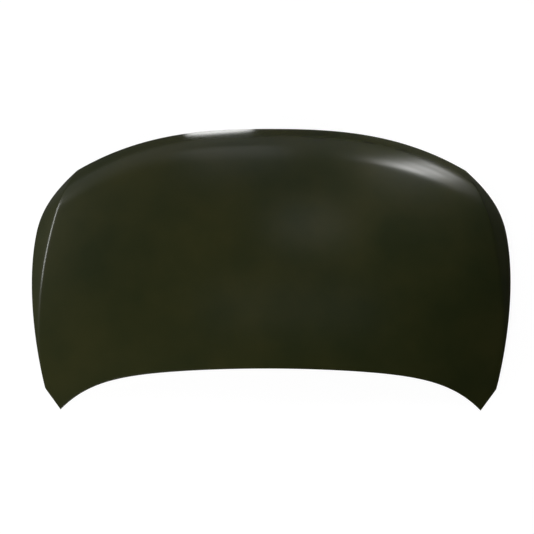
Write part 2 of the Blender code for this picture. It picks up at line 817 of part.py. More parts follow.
def striker_loop(finish):
    """A round rod bent to a U that hangs from the plate for the latch to catch."""
    half = STRIKER_SPREAD / 2
    corners = [Vector(p) for p in ((-half, 0.0), (-half, -STRIKER_DROP), (half, -STRIKER_DROP), (half, 0.0))]
    path = rounded(corners, [False, True, True, False], STRIKER_BEND, False)
    curve = bpy.data.curves.new("striker_loop", "CURVE")
    curve.dimensions = "3D"
    curve.bevel_depth = STRIKER_ROD / 2
    curve.bevel_resolution = 3
    curve.use_fill_caps = True
    spline = curve.splines.new("POLY")
    spline.points.add(len(path) - 1)
    for slot, p in zip(spline.points, path):
        slot.co = (p.x, 0.0, p.y, 1.0)
    curve.materials.append(finish)
    return add_part("striker_loop", curve)


def surface_tree(piece):
    return BVHTree.FromObject(piece, bpy.context.evaluated_depsgraph_get())


def mastic_dab(name, spot, frame_tree, skin_tree, finish):
    """A round dab squeezed between rim and skin, so both of its ends follow the sheets."""
    bm = bmesh.new()
    bmesh.ops.create_cone(
        bm, cap_ends=True, segments=10, radius1=MASTIC_DIAMETER / 2,
        radius2=MASTIC_DIAMETER / 2, depth=RIM_DEPTH)
    for corner in bm.verts:
        upward = 1.0 if corner.co.z > 0 else -1.0
        start = spot + Vector((corner.co.x, corner.co.y, 0.0))
        tree = skin_tree if upward > 0 else frame_tree
        seat_z = tree.ray_cast(start, Vector((0.0, 0.0, upward)))[0].z
        corner.co.z = seat_z - upward * GAP - spot.z
    mesh_object(name, bm, finish, 60.0).location = spot


def mastic_dabs(skin, frame, rims, finish):
    """Soft dabs that stop the skin drumming on the window rims."""
    skin_tree = surface_tree(skin)
    frame_tree = surface_tree(frame)
    window_names = ("rear_middle", "front_middle", "rear_side", "front_inner", "front_outer")
    for window, spots in zip(window_names, rims):
        for number, spot in enumerate(spots, start=1):
            for label, side in (("left", -1), ("right", 1)):
                middle = Vector((side * spot.x, spot.y, spot.z + (RIM_DEPTH - SKIN) / 2))
                mastic_dab(f"mastic_{window}_{label}_{number}", middle, frame_tree, skin_tree, finish)


def stand_on_floor(skin):
    """Move the base so that the skin's box is centred on the origin and its foot is at z = 0."""
    evaluated = skin.evaluated_get(bpy.context.evaluated_depsgraph_get())
    corners = [Vector(corner) for corner in evaluated.bound_box]
    middle_y = (min(c.y for c in corners) + max(c.y for c in corners)) / 2
    BASE.location = (0.0, -middle_y, -min(c.z for c in corners))


for old in list(bpy.data.objects):
    bpy.data.objects.remove(old, do_unlink=True)
PARTS = collection("car_bonnet")
CUTTERS = collection("cutters")
BASE = bpy.data.objects.new("bonnet_base", None)
PARTS.objects.link(BASE)

skin_piece = outer_skin()
frame_piece, rim_places = inner_frame()
steel = material("plated_steel", (0.42, 0.43, 0.44), 0.38, 1.0)
hinge_reinforcements(steel)
weld_nuts(steel)
latch_group(steel, steel)
bpy.context.view_layer.update()
mastic_dabs(skin_piece, frame_piece, rim_places, material("mastic", (0.05, 0.05, 0.055), 0.85, 0.0))
stand_on_floor(skin_piece)
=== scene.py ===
# %% [markdown]
# # A bare car bonnet, lying skin up
#
# A replacement bonnet comes as one welded and folded sheet metal part. It is dipped whole in a thin
# dark primer, so everything from the outer skin to the hidden frame has the same satin, olive-black
# coat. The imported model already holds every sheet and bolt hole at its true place. This lesson
# gives that model its finished surfaces, its primer, its studio and its camera.

import math

import bmesh
import bpy
import numpy as np
from mathutils import Matrix, Vector
from mathutils.geometry import delaunay_2d_cdt


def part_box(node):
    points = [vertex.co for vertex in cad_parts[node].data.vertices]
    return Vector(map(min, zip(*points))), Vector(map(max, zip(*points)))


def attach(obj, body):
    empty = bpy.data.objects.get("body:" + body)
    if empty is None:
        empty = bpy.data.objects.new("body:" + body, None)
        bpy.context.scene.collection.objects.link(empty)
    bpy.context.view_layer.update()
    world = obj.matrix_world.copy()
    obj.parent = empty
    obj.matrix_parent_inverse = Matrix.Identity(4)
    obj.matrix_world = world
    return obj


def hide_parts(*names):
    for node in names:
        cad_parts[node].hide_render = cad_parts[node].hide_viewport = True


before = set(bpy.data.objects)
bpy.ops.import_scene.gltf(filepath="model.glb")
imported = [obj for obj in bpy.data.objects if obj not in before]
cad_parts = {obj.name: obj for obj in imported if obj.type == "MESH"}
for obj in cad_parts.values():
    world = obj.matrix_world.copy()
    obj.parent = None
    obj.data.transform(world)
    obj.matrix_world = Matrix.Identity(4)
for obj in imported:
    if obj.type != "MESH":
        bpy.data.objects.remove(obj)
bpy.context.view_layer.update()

# %% [markdown]
# ## The outline and the pressed surface
#
# A stylist draws a bonnet as a few long curves: a bowed windscreen edge that sweeps into two
# pointed corners, two side edges, a crease inside each, and a bowed nose. The skin between them is
# a shallow dome that rolls down at the nose. It could be traced point by point, but a handful of
# named radii and curve handles describes it better. The same formula then places every other sheet.

# %% The driving sizes of the outline, in metres
LENGTH = 0.870
TIP_X = 0.612
COWL_DEPTH = 0.100
COWL_SWEEP = 0.0725
COWL_SWEEP_POWER = 7.0
SHOULDER_X = 0.660
SHOULDER_RISE = 0.0615
NOSE_CORNER_X = 0.605
NOSE_SWEEP = 0.1175
NOSE_SWEEP_POWER = 2.9
EDGE_REAR_HANDLE = (0.028, 0.0885)
EDGE_FRONT_HANDLE = (0.211, -0.1045)
CREASE_REAR_HANDLE = (0.045, 0.1355)
CREASE_FRONT_HANDLE = (0.098, -0.2695)

HALF_LENGTH = LENGTH / 2
COWL_Y = COWL_DEPTH - HALF_LENGTH
SHOULDER = Vector((SHOULDER_X, SHOULDER_RISE - HALF_LENGTH))
NOSE_CORNER = Vector((NOSE_CORNER_X, HALF_LENGTH - NOSE_SWEEP))


# %% The four edges and the crease
def cowl_y(x):
    """The windscreen edge: a gentle bow that sweeps back into the corner tips."""
    share = abs(x) / TIP_X
    bow = COWL_DEPTH - COWL_SWEEP
    return COWL_Y - bow * share ** 2 - COWL_SWEEP * share ** COWL_SWEEP_POWER


def nose_y(x):
    """The nose edge, which bows forward between the two nose corners."""
    return HALF_LENGTH - NOSE_SWEEP * (abs(x) / NOSE_CORNER_X) ** NOSE_SWEEP_POWER


def side_curve(t, rear_handle, front_handle):
    """A cubic curve from the rear shoulder to the nose corner."""
    rear = SHOULDER + Vector(rear_handle)
    front = NOSE_CORNER + Vector(front_handle)
    s = 1 - t
    return s ** 3 * SHOULDER + 3 * s * s * t * rear + 3 * s * t * t * front + t ** 3 * NOSE_CORNER


CREASE_STEPS = 400
crease_line = [side_curve(i / CREASE_STEPS, CREASE_REAR_HANDLE, CREASE_FRONT_HANDLE)
               for i in range(CREASE_STEPS + 1)]
edge_line = [side_curve(i / CREASE_STEPS, EDGE_REAR_HANDLE, EDGE_FRONT_HANDLE)
             for i in range(CREASE_STEPS + 1)]
crease_xs = [p.x for p in crease_line]
crease_ys = [p.y for p in crease_line]
edge_xs = [p.x for p in edge_line]
edge_ys = [p.y for p in edge_line]


def crease_x(y):
    """Half width of the crease line at y."""
    return float(np.interp(y, crease_ys, crease_xs))


flank_widths = [x - crease_x(y) for x, y in zip(edge_xs, edge_ys)]
print("widest flank, mm:", round(max(flank_widths) * 1000, 1))

# %% [markdown]
# ## How far the skin falls away from its crown
#
# The die that presses the skin never has a knife edge: the crease is a small radius, and that
# radius is what catches the light as a thin bright line. So the fall to the flank starts with a
# short curved blend, and the blend gets narrower where the flank runs out at its two ends.

# %% The driving sizes of the surface
LONG_RADIUS = 2.4
CROSS_DROP = 0.0624
CROWN_FROM_NOSE = 0.229
CROWN_Y = HALF_LENGTH - CROWN_FROM_NOSE
ROLL_WIDTH = 0.130
NOSE_EDGE_SLOPE = math.radians(41.0)
FLANK_FALL = 0.70
CREASE_BLEND = 0.0045
CREASE_BLEND_MIN = 0.0015
CREASE_BLEND_OF_FLANK = 0.4

SKIN = 0.0007
INNER = 0.0007
GAP = 0.0003
HEM_RETURN = 0.010
HEM_RETURN_MIN = 0.005
FLANGE = 0.014
FLANGE_EDGE_GAP = 0.0006
HEM_STACK = 2 * SKIN + INNER + 2 * GAP


# %% The skin's height at any place
SLOPE_STEP = 0.0004


def blended_ramp(distance, blend_width):
    """Zero on one side, the distance on the other, with a parabola between."""
    if distance >= blend_width:
        return distance
    if distance <= -blend_width:
        return 0.0
    return (distance + blend_width) ** 2 / (4 * blend_width)


def crease_blend(y):
    """The crease's radius, narrowed where the flank runs out."""
    flank = float(np.interp(y, edge_ys, flank_widths))
    return min(max(CREASE_BLEND_OF_FLANK * flank, CREASE_BLEND_MIN), CREASE_BLEND)


def skin_fall(x, y):
    """How far the skin lies below its crown: long bow, cross bow, nose roll and flank."""
    x = abs(x)
    fall = (y - CROWN_Y) ** 2 / (2 * LONG_RADIUS) + CROSS_DROP * (x / TIP_X) ** 2
    start_slope = (HALF_LENGTH - ROLL_WIDTH - CROWN_Y) / LONG_RADIUS
    roll = (math.tan(NOSE_EDGE_SLOPE) - start_slope) / (2 * ROLL_WIDTH)
    into_roll = max(0.0, ROLL_WIDTH - (nose_y(x) - y))
    fall += roll * into_roll ** 2
    return fall + FLANK_FALL * blended_ramp(x - crease_x(y), crease_blend(y))


outline_probe = [(TIP_X, cowl_y(TIP_X)), (0.0, nose_y(0.0))] + list(zip(edge_xs, edge_ys))
CROWN_Z = max(skin_fall(x, y) for x, y in outline_probe) + HEM_STACK


def skin_z(x, y):
    return CROWN_Z - skin_fall(x, y)


def skin_slopes(x, y, step):
    """How steeply the skin rises to the right and ahead, measured over a short step."""
    slope_x = (skin_z(x + step, y) - skin_z(x - step, y)) / (2 * step)
    slope_y = (skin_z(x, y + step) - skin_z(x, y - step)) / (2 * step)
    return slope_x, slope_y


def skin_normal(x, y):
    """The upward normal of the skin, which leans neither left nor right on the car's middle."""
    slope_x, slope_y = skin_slopes(x, y, SLOPE_STEP)
    if abs(x) < SLOPE_STEP:
        slope_x = 0.0
    return Vector((-slope_x, -slope_y, 1.0)).normalized()


def under_skin(x, y, depth):
    """The point at an even depth under the skin's outer face."""
    return Vector((x, y, skin_z(x, y))) - skin_normal(x, y) * depth


print("crown height, mm:", round(CROWN_Z * 1000, 1))

# %% [markdown]
# ## A grid that follows the crease
#
# Sheet metal reads as sheet metal when the mesh lines run along its edges. The top is a patch
# blended from four borders: the middle of the car, the windscreen edge, the nose and the crease.
# The flank outside the crease is a strip of its own. Extra lines close to the crease let it bend
# smoothly. A plain square grid would cut across the crease and show it as a row of steps.

# %% Stations along the outline
COWL_STATIONS = 54
TIP_STATIONS = 8
SIDE_STATIONS = 72
COWL_CROWDING = 1.2
NOSE_CROWDING = 1.5
CREASE_STEP = CREASE_BLEND / 2
BEND_ROWS = 2
FLANK_ROWS = 5
SAME_SPOT = 1e-9


def crowd(share, power):
    """Spread stations from 0 to 1 so that they lie closer together towards 1."""
    return 1 - (1 - share) ** power


def blend(share, first, second):
    return first * (1 - share) + second * share


def plan_lines():
    """Plan points of the right half: cowl, short run from tip to shoulder, edge, crease, nose."""
    across = [crowd(i / COWL_STATIONS, COWL_CROWDING) for i in range(COWL_STATIONS)]
    across = [share for share in across if share < 1 - (BEND_ROWS + 1) * CREASE_STEP / TIP_X]
    across += [1 - k * CREASE_STEP / TIP_X for k in range(BEND_ROWS, -1, -1)]
    along = [crowd(i / (SIDE_STATIONS - 1), NOSE_CROWDING) for i in range(SIDE_STATIONS)]
    cowl = [Vector((TIP_X * share, cowl_y(TIP_X * share))) for share in across]
    nose = [Vector((NOSE_CORNER_X * share, nose_y(NOSE_CORNER_X * share))) for share in across]
    tip_run = [blend(i / TIP_STATIONS, cowl[-1], SHOULDER) for i in range(1, TIP_STATIONS)]
    edge = [side_curve(t, EDGE_REAR_HANDLE, EDGE_FRONT_HANDLE) for t in along]
    crease = [side_curve(t, CREASE_REAR_HANDLE, CREASE_FRONT_HANDLE) for t in along]
    return across, cowl, nose, tip_run, edge, crease


across_shares, cowl_line, nose_line, tip_run, side_edge, side_crease = plan_lines()
outline = cowl_line + tip_run + side_edge + nose_line[-2::-1]
tip_station = len(cowl_line) - 1
print("points round the half outline:", len(outline))

# %% [markdown]
# ## The outer skin and its hem
#
# The skin is one drawn sheet. Its edge is folded round the inner frame's flange and pressed flat:
# that hem is the rounded edge a hand feels. The right half is built as two faces, the outer one and
# one a sheet's thickness inside it. They are joined at the hem's end and mirrored. Both come from
# one formula, so the sheet stays evenly thick round the tight fold. The frame's bends are wide, so
# there a Solidify modifier is enough. The hem is cut back at the pointed rear corners, as in a real
# press shop.


# %% The top of the skin
def patch_rows():
    """Plan rows of the top from cowl to nose, each from the middle of the car to its right border."""
    border = [cowl_line[-1]] + tip_run + side_crease
    span = border[-1].y - border[0].y
    rows = [cowl_line]
    for side_point in border[1:-1]:
        v = (side_point.y - border[0].y) / span
        left = blend(v, cowl_line[0], nose_line[0])
        line = []
        for i, u in enumerate(across_shares):
            along = blend(v, cowl_line[i], nose_line[i])
            corners = blend(v, blend(u, cowl_line[0], cowl_line[-1]), blend(u, nose_line[0], nose_line[-1]))
            line.append(blend(u, left, side_point) + along - corners)
        rows.append(line)
    return rows + [nose_line]


def flank_rows():
    """Plan rows of the flank, from the crease out to the side edge."""
    rows = [side_crease]
    for k in range(1, BEND_ROWS + FLANK_ROWS + 1):
        line = []
        for inner, outer in zip(side_crease, side_edge):
            width = max((outer - inner).length, SAME_SPOT)
            bend = min(BEND_ROWS * CREASE_STEP / width, BEND_ROWS / (BEND_ROWS + FLANK_ROWS))
            share = bend * k / BEND_ROWS if k <= BEND_ROWS else blend((k - BEND_ROWS) / FLANK_ROWS, bend, 1.0)
            line.append(blend(share, inner, outer))
        rows.append(line)
    return rows


def place_row(bm, points, depth):
    return [bm.verts.new(under_skin(p.x, p.y, depth)) for p in points]


def strip(bm, outer, inner, closed=False):
    """Join two rows with a strip of four-sided faces."""
    count = len(outer) if closed else len(outer) - 1
    for i in range(count):
        j = (i + 1) % len(outer)
        bm.faces.new((outer[i], outer[j], inner[j], inner[i]))


def join_rows(bm, rows, closed=False):
    for first, second in zip(rows, rows[1:]):
        strip(bm, first, second, closed)


# %% The hem's width and its direction round the outline
HEM_AT_TIP = 0.0025
TIP_RELIEF = 0.78


def neighbours(points, i, closed):
    """The points before and after one; an open line goes on as its mirror image at its ends."""
    before = points[i - 1]
    after = points[(i + 1) % len(points)]
    if not closed and i == 0:
        before = Vector((-points[1].x, points[1].y))
    if not closed and i == len(points) - 1:
        after = Vector((-points[-2].x, points[-2].y))
    return before, after


def inward(points, i, closed=False):
    """The inward mitre at a point: offset by this vector times a distance keeps a wall even."""
    before, after = neighbours(points, i, closed)
    first = (points[i] - before).normalized()
    second = (after - points[i]).normalized()
    normal_one = Vector((-first.y, first.x))
    normal_two = Vector((-second.y, second.x))
    return (normal_one + normal_two) / (1 + normal_one.dot(normal_two))


def hem_width(i):
    """The hem's return: narrow on a narrow flank, and cut back towards the pointed corner."""
    station = i - tip_station - len(tip_run) - 1
    width = HEM_RETURN
    if 0 <= station < len(side_edge):
        flank = (side_edge[station] - side_crease[station]).length
        width = min(max(flank, HEM_RETURN_MIN), HEM_RETURN)
    from_tip = (outline[i] - cowl_line[-1]).length
    return min(width, HEM_AT_TIP + TIP_RELIEF * from_tip)


hem_widths = [hem_width(i) for i in range(len(outline))]
hem_inward = [inward(outline, i) for i in range(len(outline))]
print("hem width, mm:", round(min(hem_widths) * 1000, 1), "to", round(max(hem_widths) * 1000, 1))


# %% Finish a mesh: shading and mirror
SHARP_ANGLE = math.radians(35.0)
MIRROR_WELD = 0.00002


def smooth_piece(name, bm):
    """A smooth-shaded object from a finished mesh."""
    mesh = bpy.data.meshes.new(name)
    bm.to_mesh(mesh)
    bm.free()
    mesh.shade_smooth()
    piece = bpy.data.objects.new(name, mesh)
    bpy.context.scene.collection.objects.link(piece)
    return piece


def mirrored_piece(name, bm):
    """An object from the right half, completed across the car's middle."""
    piece = smooth_piece(name, bm)
    piece.data.set_sharp_from_angle(angle=SHARP_ANGLE)
    mirror = piece.modifiers.new("Mirror", "MIRROR")
    mirror.use_clip = True
    mirror.merge_threshold = MIRROR_WELD
    return piece


# %% Fold the edge and build the skin
FOLD_STEPS = 7
HEM_ROWS = 3
SEAM_WELD = 0.000002


def outward_on_skin(i):
    """The direction that points out of the panel at an edge point, lying in the skin."""
    plan = -hem_inward[i]
    normal = skin_normal(*outline[i])
    rise = -(normal.x * plan.x + normal.y * plan.y) / normal.z
    lying = Vector((plan.x, plan.y, rise))
    return lying * (plan.length / lying.length)


def fold_row(bm, turn_share, radius):
    """One row of the fold, about a centre line at half the hem's thickness."""
    angle = math.pi * turn_share
    depth = HEM_STACK / 2 - radius * math.cos(angle)
    bulge = radius * math.sin(angle)
    return [bm.verts.new(under_skin(p.x, p.y, depth) + outward_on_skin(i) * bulge)
            for i, p in enumerate(outline)]


def hem_row(bm, share, depth):
    """A row of the returned face, at a share of the hem's width."""
    spots = [p + hem_inward[i] * hem_widths[i] * share for i, p in enumerate(outline)]
    return place_row(bm, spots, depth)


def sheet_face(bm, inside):
    """One face of the folded sheet, at an even distance inside its outer face."""
    top = [place_row(bm, points, inside) for points in patch_rows()]
    flank = [place_row(bm, points, inside) for points in flank_rows()]
    radius = HEM_STACK / 2 - inside
    folded = [fold_row(bm, step / FOLD_STEPS, radius) for step in range(FOLD_STEPS + 1)]
    folded += [hem_row(bm, step / HEM_ROWS, HEM_STACK - inside) for step in range(1, HEM_ROWS + 1)]
    for rows in (top, flank, folded):
        join_rows(bm, rows)
    return folded[-1]


def outer_skin():
    """The painted outer panel with its edge folded round and back under the inner frame."""
    bm = bmesh.new()
    outer_end = sheet_face(bm, 0.0)
    inner_end = sheet_face(bm, SKIN)
    strip(bm, outer_end, inner_end)
    bmesh.ops.remove_doubles(bm, verts=bm.verts, dist=SEAM_WELD)
    bmesh.ops.recalc_face_normals(bm, faces=bm.faces)
    if max(bm.verts, key=lambda v: v.co.z).normal.z < 0:
        bmesh.ops.reverse_faces(bm, faces=bm.faces)
    return mirrored_piece("drawn_skin", bm)


skin = outer_skin()
bpy.context.view_layer.update()
skin_box = skin.evaluated_get(bpy.context.evaluated_depsgraph_get()).bound_box
skin_ys = [corner[1] for corner in skin_box]
skin_zs = [corner[2] for corner in skin_box]
BASE = Vector((0.0, -(min(skin_ys) + max(skin_ys)) / 2, -min(skin_zs)))
skin.location = BASE
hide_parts("outer_skin")
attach(skin, "root")
print("skin faces:", len(skin.data.polygons), "base shift, mm:", [round(v * 1000, 3) for v in BASE])

# %% [markdown]
# ## The inner frame
#
# Under the skin lies a second pressing that carries the load. Its flange sits inside the hem, a
# channel runs round the edge, and ribs cross it in a V to spread the latch's pull to both hinges.
# Windows save weight, and a raised rim round each one stiffens it. Every step in a pressing has a
# rounded bend, so a step here is one formula with a bend at its foot and one at its top. Bevelling
# sharp corners afterwards would give the same look, but it breaks where many edges meet.

# %% The driving sizes of the frame
PAN_DEPTH = 0.022
PAN_WALL_RUN = 0.010
PAN_FLOOR_CLEARANCE = 0.004
COWL_BAND = 0.088
SIDE_BAND = 0.075
NOSE_BAND = 0.105
WINDOW_WALL_RUN = 0.012
WINDOW_RIM = 0.010
RIM_DEPTH = 0.0045
WINDOW_RADIUS = 0.034
WINDOW_SHORTEST_SIDE = 0.030
V_RIB_WIDTH = 0.068
CROSS_RIB_WIDTH = 0.060
LAMP_RIB_WIDTH = 0.056
LOCATING_HOLE = 0.018
HINGE_PAD = (0.104, 0.046)
HINGE_BOLT_SPACING = 0.056
HINGE_BOLT_HOLE = 0.009
HINGE_ZONE = 0.095
LATCH_PAD = (0.150, 0.060)
LATCH_ZONE = 0.070
PAD_STEP = 0.002
PAD_WALL_RUN = 0.004
PAD_RADIUS = 0.014

# %% Where the seats and the ribs lie
HINGE_FROM_TIP = (0.082, 0.130)
LATCH_FROM_NOSE = 0.135
CROSS_RIB_FROM_NOSE = 0.415
V_RIB_FROM_TIP = (0.092, 0.135)
V_RIB_FROM_NOSE = 0.135
V_RIB_NOSE_HALF_SPACING = 0.100
LAMP_RIB_HALF_SPACING = 0.300
LAMP_RIB_FROM_CORNER = (0.085, 0.0125)
LOCATING_HOLE_SHARES = (0.32, 0.72)

HINGE_SEAT = Vector((TIP_X - HINGE_FROM_TIP[0], HINGE_FROM_TIP[1] - HALF_LENGTH))
LATCH_SEAT = Vector((0.0, HALF_LENGTH - LATCH_FROM_NOSE))
CROSS_RIB_Y = HALF_LENGTH - CROSS_RIB_FROM_NOSE
V_RIB_REAR = Vector((TIP_X - V_RIB_FROM_TIP[0], V_RIB_FROM_TIP[1] - HALF_LENGTH))
V_RIB_FRONT = Vector((V_RIB_NOSE_HALF_SPACING, HALF_LENGTH - V_RIB_FROM_NOSE))
LAMP_RIB_REAR = Vector((LAMP_RIB_HALF_SPACING, CROSS_RIB_Y))
LAMP_RIB_FRONT = Vector((NOSE_CORNER_X - LAMP_RIB_FROM_CORNER[0], NOSE_CORNER.y + LAMP_RIB_FROM_CORNER[1]))
print("hinge seat:", [round(v, 3) for v in HINGE_SEAT], "latch seat:", [round(v, 3) for v in LATCH_SEAT])


# %% The windows' plan shapes
FIELD_REAR_SHARES = (0.0, 0.25, 0.5, 0.75)
FIELD_SIDE_SHARES = (0.16, 0.36, 0.56, 0.76)
FIELD_FRONT_SHARES = (0.84, 0.6, 0.3, 0.0)
ON_MIDDLE = 0.000001


def line_sides(start, end, width):
    """The two sides of a rib as cutting lines: a point on each and the normal to its left."""
    along = (end - start).normalized()
    left = Vector((-along.y, along.x))
    half = width / 2
    return (start + left * half, left), (start - left * half, -left)


def clip(polygon, point, normal):
    """Keep the part of a polygon that lies on the normal's side of a line."""
    kept = []
    for a, b in zip(polygon, polygon[1:] + polygon[:1]):
        da = (a - point).dot(normal)
        db = (b - point).dot(normal)
        if da >= 0:
            kept.append(a)
        if da * db < 0:
            kept.append(blend(da / (da - db), a, b))
    return kept


def window_field():
    """The plan area inside the frame's edge channels, for the windows to be cut from."""
    rear = [TIP_X * share for share in FIELD_REAR_SHARES]
    side = [blend(share, SHOULDER.y, NOSE_CORNER.y) for share in FIELD_SIDE_SHARES]
    front = [NOSE_CORNER_X * share for share in FIELD_FRONT_SHARES]
    points = [Vector((x, cowl_y(x) + COWL_BAND)) for x in rear]
    points += [Vector((crease_x(y) - SIDE_BAND, y)) for y in side]
    points += [Vector((x, nose_y(x) - NOSE_BAND)) for x in front]
    return points


def open_at_middle(shape):
    """Turn a shape that has a side on x = 0 into an open line from one end of it to the other."""
    on_middle = [abs(p.x) < ON_MIDDLE for p in shape]
    if not any(on_middle):
        return shape, True
    while not (on_middle[0] and on_middle[-1]):
        shape = shape[1:] + shape[:1]
        on_middle = on_middle[1:] + on_middle[:1]
    return shape, False


def window_shapes():
    """The five windows of the right half; the two on the middle are open at x = 0."""
    inside_v, outside_v = reversed(line_sides(V_RIB_FRONT, V_RIB_REAR, V_RIB_WIDTH))
    left_lamp, right_lamp = line_sides(LAMP_RIB_REAR, LAMP_RIB_FRONT, LAMP_RIB_WIDTH)
    half_cross = CROSS_RIB_WIDTH / 2
    rearward = (Vector((0.0, CROSS_RIB_Y - half_cross)), Vector((0.0, -1.0)))
    forward = (Vector((0.0, CROSS_RIB_Y + half_cross)), Vector((0.0, 1.0)))
    behind_latch = (Vector((0.0, LATCH_SEAT.y - LATCH_ZONE)), Vector((0.0, -1.0)))
    ahead_of_hinge = (Vector((0.0, HINGE_SEAT.y + HINGE_ZONE)), Vector((0.0, 1.0)))
    cuts = (
        (inside_v, rearward),
        (inside_v, forward, behind_latch),
        (outside_v, rearward, ahead_of_hinge),
        (outside_v, forward, left_lamp),
        (outside_v, forward, right_lamp),
    )
    shapes = []
    for lines in cuts:
        shape = window_field()
        for point, normal in lines:
            shape = clip(shape, point, normal)
        shapes.append(open_at_middle(shape))
    return shapes


# %% Tidy a plan shape's points
CORNER_TURN = math.radians(18.0)
CORNER_ROOM = 1.5 * WINDOW_RADIUS


def turn(points, i):
    """The corner's change of direction, in radians."""
    count = len(points)
    first = points[i] - points[(i - 1) % count]
    second = points[(i + 1) % count] - points[i]
    return abs(first.angle(second))


def is_end(points, i, closed):
    return not closed and i in (0, len(points) - 1)


def is_corner(points, i, closed):
    return not is_end(points, i, closed) and turn(points, i) > CORNER_TURN


def without_short_sides(points, closed):
    """Where two points of an outline lie very close, keep the sharper one."""
    points = list(points)
    i = 0
    while i < (len(points) if closed else len(points) - 1):
        j = (i + 1) % len(points)
        if (points[j] - points[i]).length > WINDOW_SHORTEST_SIDE:
            i += 1
            continue
        free = [k for k in (i, j) if not is_end(points, k, closed)]
        del points[min(free, key=lambda k: turn(points, k))]
        i = max(0, i - 1)
    return points


def without_crowded(points, closed):
    """Drop the gentle points of an outline that lie close to one of its corners."""
    corners = [p for i, p in enumerate(points) if is_corner(points, i, closed)]
    kept = []
    for i, p in enumerate(points):
        near = min((p - corner).length for corner in corners)
        if near < SAME_SPOT or near > CORNER_ROOM or is_end(points, i, closed):
            kept.append(p)
    return kept


# %% Offset, round and refine a plan shape
ARC_STEPS = 8
LONGEST_REACH = 0.45
FRAME_STATION = 0.009


def inset(points, distance, closed=False):
    """Move an outline inward by one distance, or by one for each point."""
    widths = distance if isinstance(distance, list) else [distance] * len(points)
    return [p + inward(points, i, closed) * widths[i] for i, p in enumerate(points)]


def rounded(points, corners, radius, closed):
    """Replace an outline's corners with arcs, smaller where a side is short."""
    result = []
    count = len(points)
    for i, p in enumerate(points):
        if not corners[i]:
            result.append(p)
            continue
        back = points[(i - 1) % count] - p
        ahead = points[(i + 1) % count] - p
        half_turn = turn(points, i) / 2
        reach = min(radius * math.tan(half_turn), LONGEST_REACH * min(back.length, ahead.length))
        start = p + back.normalized() * reach
        end = p + ahead.normalized() * reach
        weight = math.cos(half_turn)
        for step in range(ARC_STEPS + 1):
            t = step / ARC_STEPS
            top = (1 - t) ** 2 * start + 2 * t * (1 - t) * weight * p + t * t * end
            result.append(top / ((1 - t) ** 2 + 2 * t * (1 - t) * weight + t * t))
    return result


def heading(points, i, closed):
    """The direction of a smooth line at one of its points."""
    before, after = neighbours(points, i, closed)
    return (after - before).normalized()


def steps_between(points, closed):
    """How many mesh stations each stretch of an outline needs."""
    ends = points[1:] + (points[:1] if closed else [])
    return [max(1, math.ceil((b - a).length / FRAME_STATION)) for a, b in zip(points, ends)]


def refined(points, counts, closed=False):
    """A smooth line through the points, with the given number of steps on each stretch."""
    line = []
    for i, steps in enumerate(counts):
        j = (i + 1) % len(points)
        reach = (points[j] - points[i]).length
        leave = heading(points, i, closed) * reach
        arrive = heading(points, j, closed) * reach
        for step in range(steps):
            t = step / steps
            base = (2 * t ** 3 - 3 * t ** 2 + 1) * points[i] + (3 * t ** 2 - 2 * t ** 3) * points[j]
            line.append(base + (t ** 3 - 2 * t ** 2 + t) * leave + (t ** 3 - t ** 2) * arrive)
    return line if closed else line + [points[-1]]


# %% The shape of a pressed step
PRESS_BLEND = 0.003
PAD_BLEND = 0.0015


def frame_z(x, y, depth):
    """Height of the frame at a depth below the skin, kept off the floor at the rear tips."""
    top = skin_z(x, y)
    return top - min(depth, top - PAN_FLOOR_CLEARANCE)


def step_places(run, bend):
    """Plan distances of the rows across a pressed step: close together in its two bends."""
    places = [bend * k / 2 for k in range(-2, 3)]
    return places + [run / 2] + [run + place for place in places]


def step_share(place, run, bend):
    """0 at the start of a pressed step and 1 at its end, with a rounded bend at both."""
    return (blended_ramp(place, bend) - blended_ramp(place - run, bend)) / run


def row_at(bm, points, height):
    return [bm.verts.new((p.x, p.y, height(p.x, p.y))) for p in points]


def chain(vertices, closed=True):
    """The links between neighbours in a row."""
    return list(zip(vertices, vertices[1:] + (vertices[:1] if closed else [])))


def press_window(bm, shape, closed):
    """A window's wall and raised rim; returns the links of its foot and the foot's two ends."""
    shape = without_crowded(without_short_sides(shape, closed), closed)
    corners = [is_corner(shape, i, closed) for i in range(len(shape))]
    counts = steps_between(rounded(shape, corners, WINDOW_RADIUS, closed), closed)
    rows = []
    for place in step_places(WINDOW_WALL_RUN, PRESS_BLEND) + [WINDOW_WALL_RUN + WINDOW_RIM]:
        line = rounded(inset(shape, place, closed), corners, WINDOW_RADIUS - place, closed)
        depth = blend(step_share(place, WINDOW_WALL_RUN, PRESS_BLEND), PAN_DEPTH, RIM_DEPTH)
        line = refined(line, counts, closed)
        rows.append(row_at(bm, line, lambda x, y: frame_z(x, y, depth)))
    join_rows(bm, rows, closed)
    return chain(rows[0], closed), (rows[0][0], rows[0][-1])


# %% The flat seats for hinge and latch
SEAT_SLOPE_STEP = 0.002
HOLE_SIDES = 32


class SeatPlane:
    """The flat seat pressed into the frame's floor, with the skin's slope above its centre."""

    def __init__(self, centre):
        self.centre = centre
        self.slope_x, self.slope_y = skin_slopes(*centre, SEAT_SLOPE_STEP)
        self.height = frame_z(*centre, PAN_DEPTH + PAD_STEP)

    def z(self, x, y):
        from_centre = Vector((x, y)) - self.centre
        return self.height + self.slope_x * from_centre.x + self.slope_y * from_centre.y


def rounded_rectangle(centre, size, radius, closed):
    """A rounded rectangle, anticlockwise; not closed, it is the right half, open at its middle."""
    half_x, half_y = size[0] / 2, size[1] / 2
    left = -half_x if closed else 0.0
    spots = ((left, -half_y), (half_x, -half_y), (half_x, half_y), (left, half_y))
    points = [centre + Vector(spot) for spot in spots]
    corners = [is_corner(points, i, closed) for i in range(4)]
    return rounded(points, corners, radius, closed)


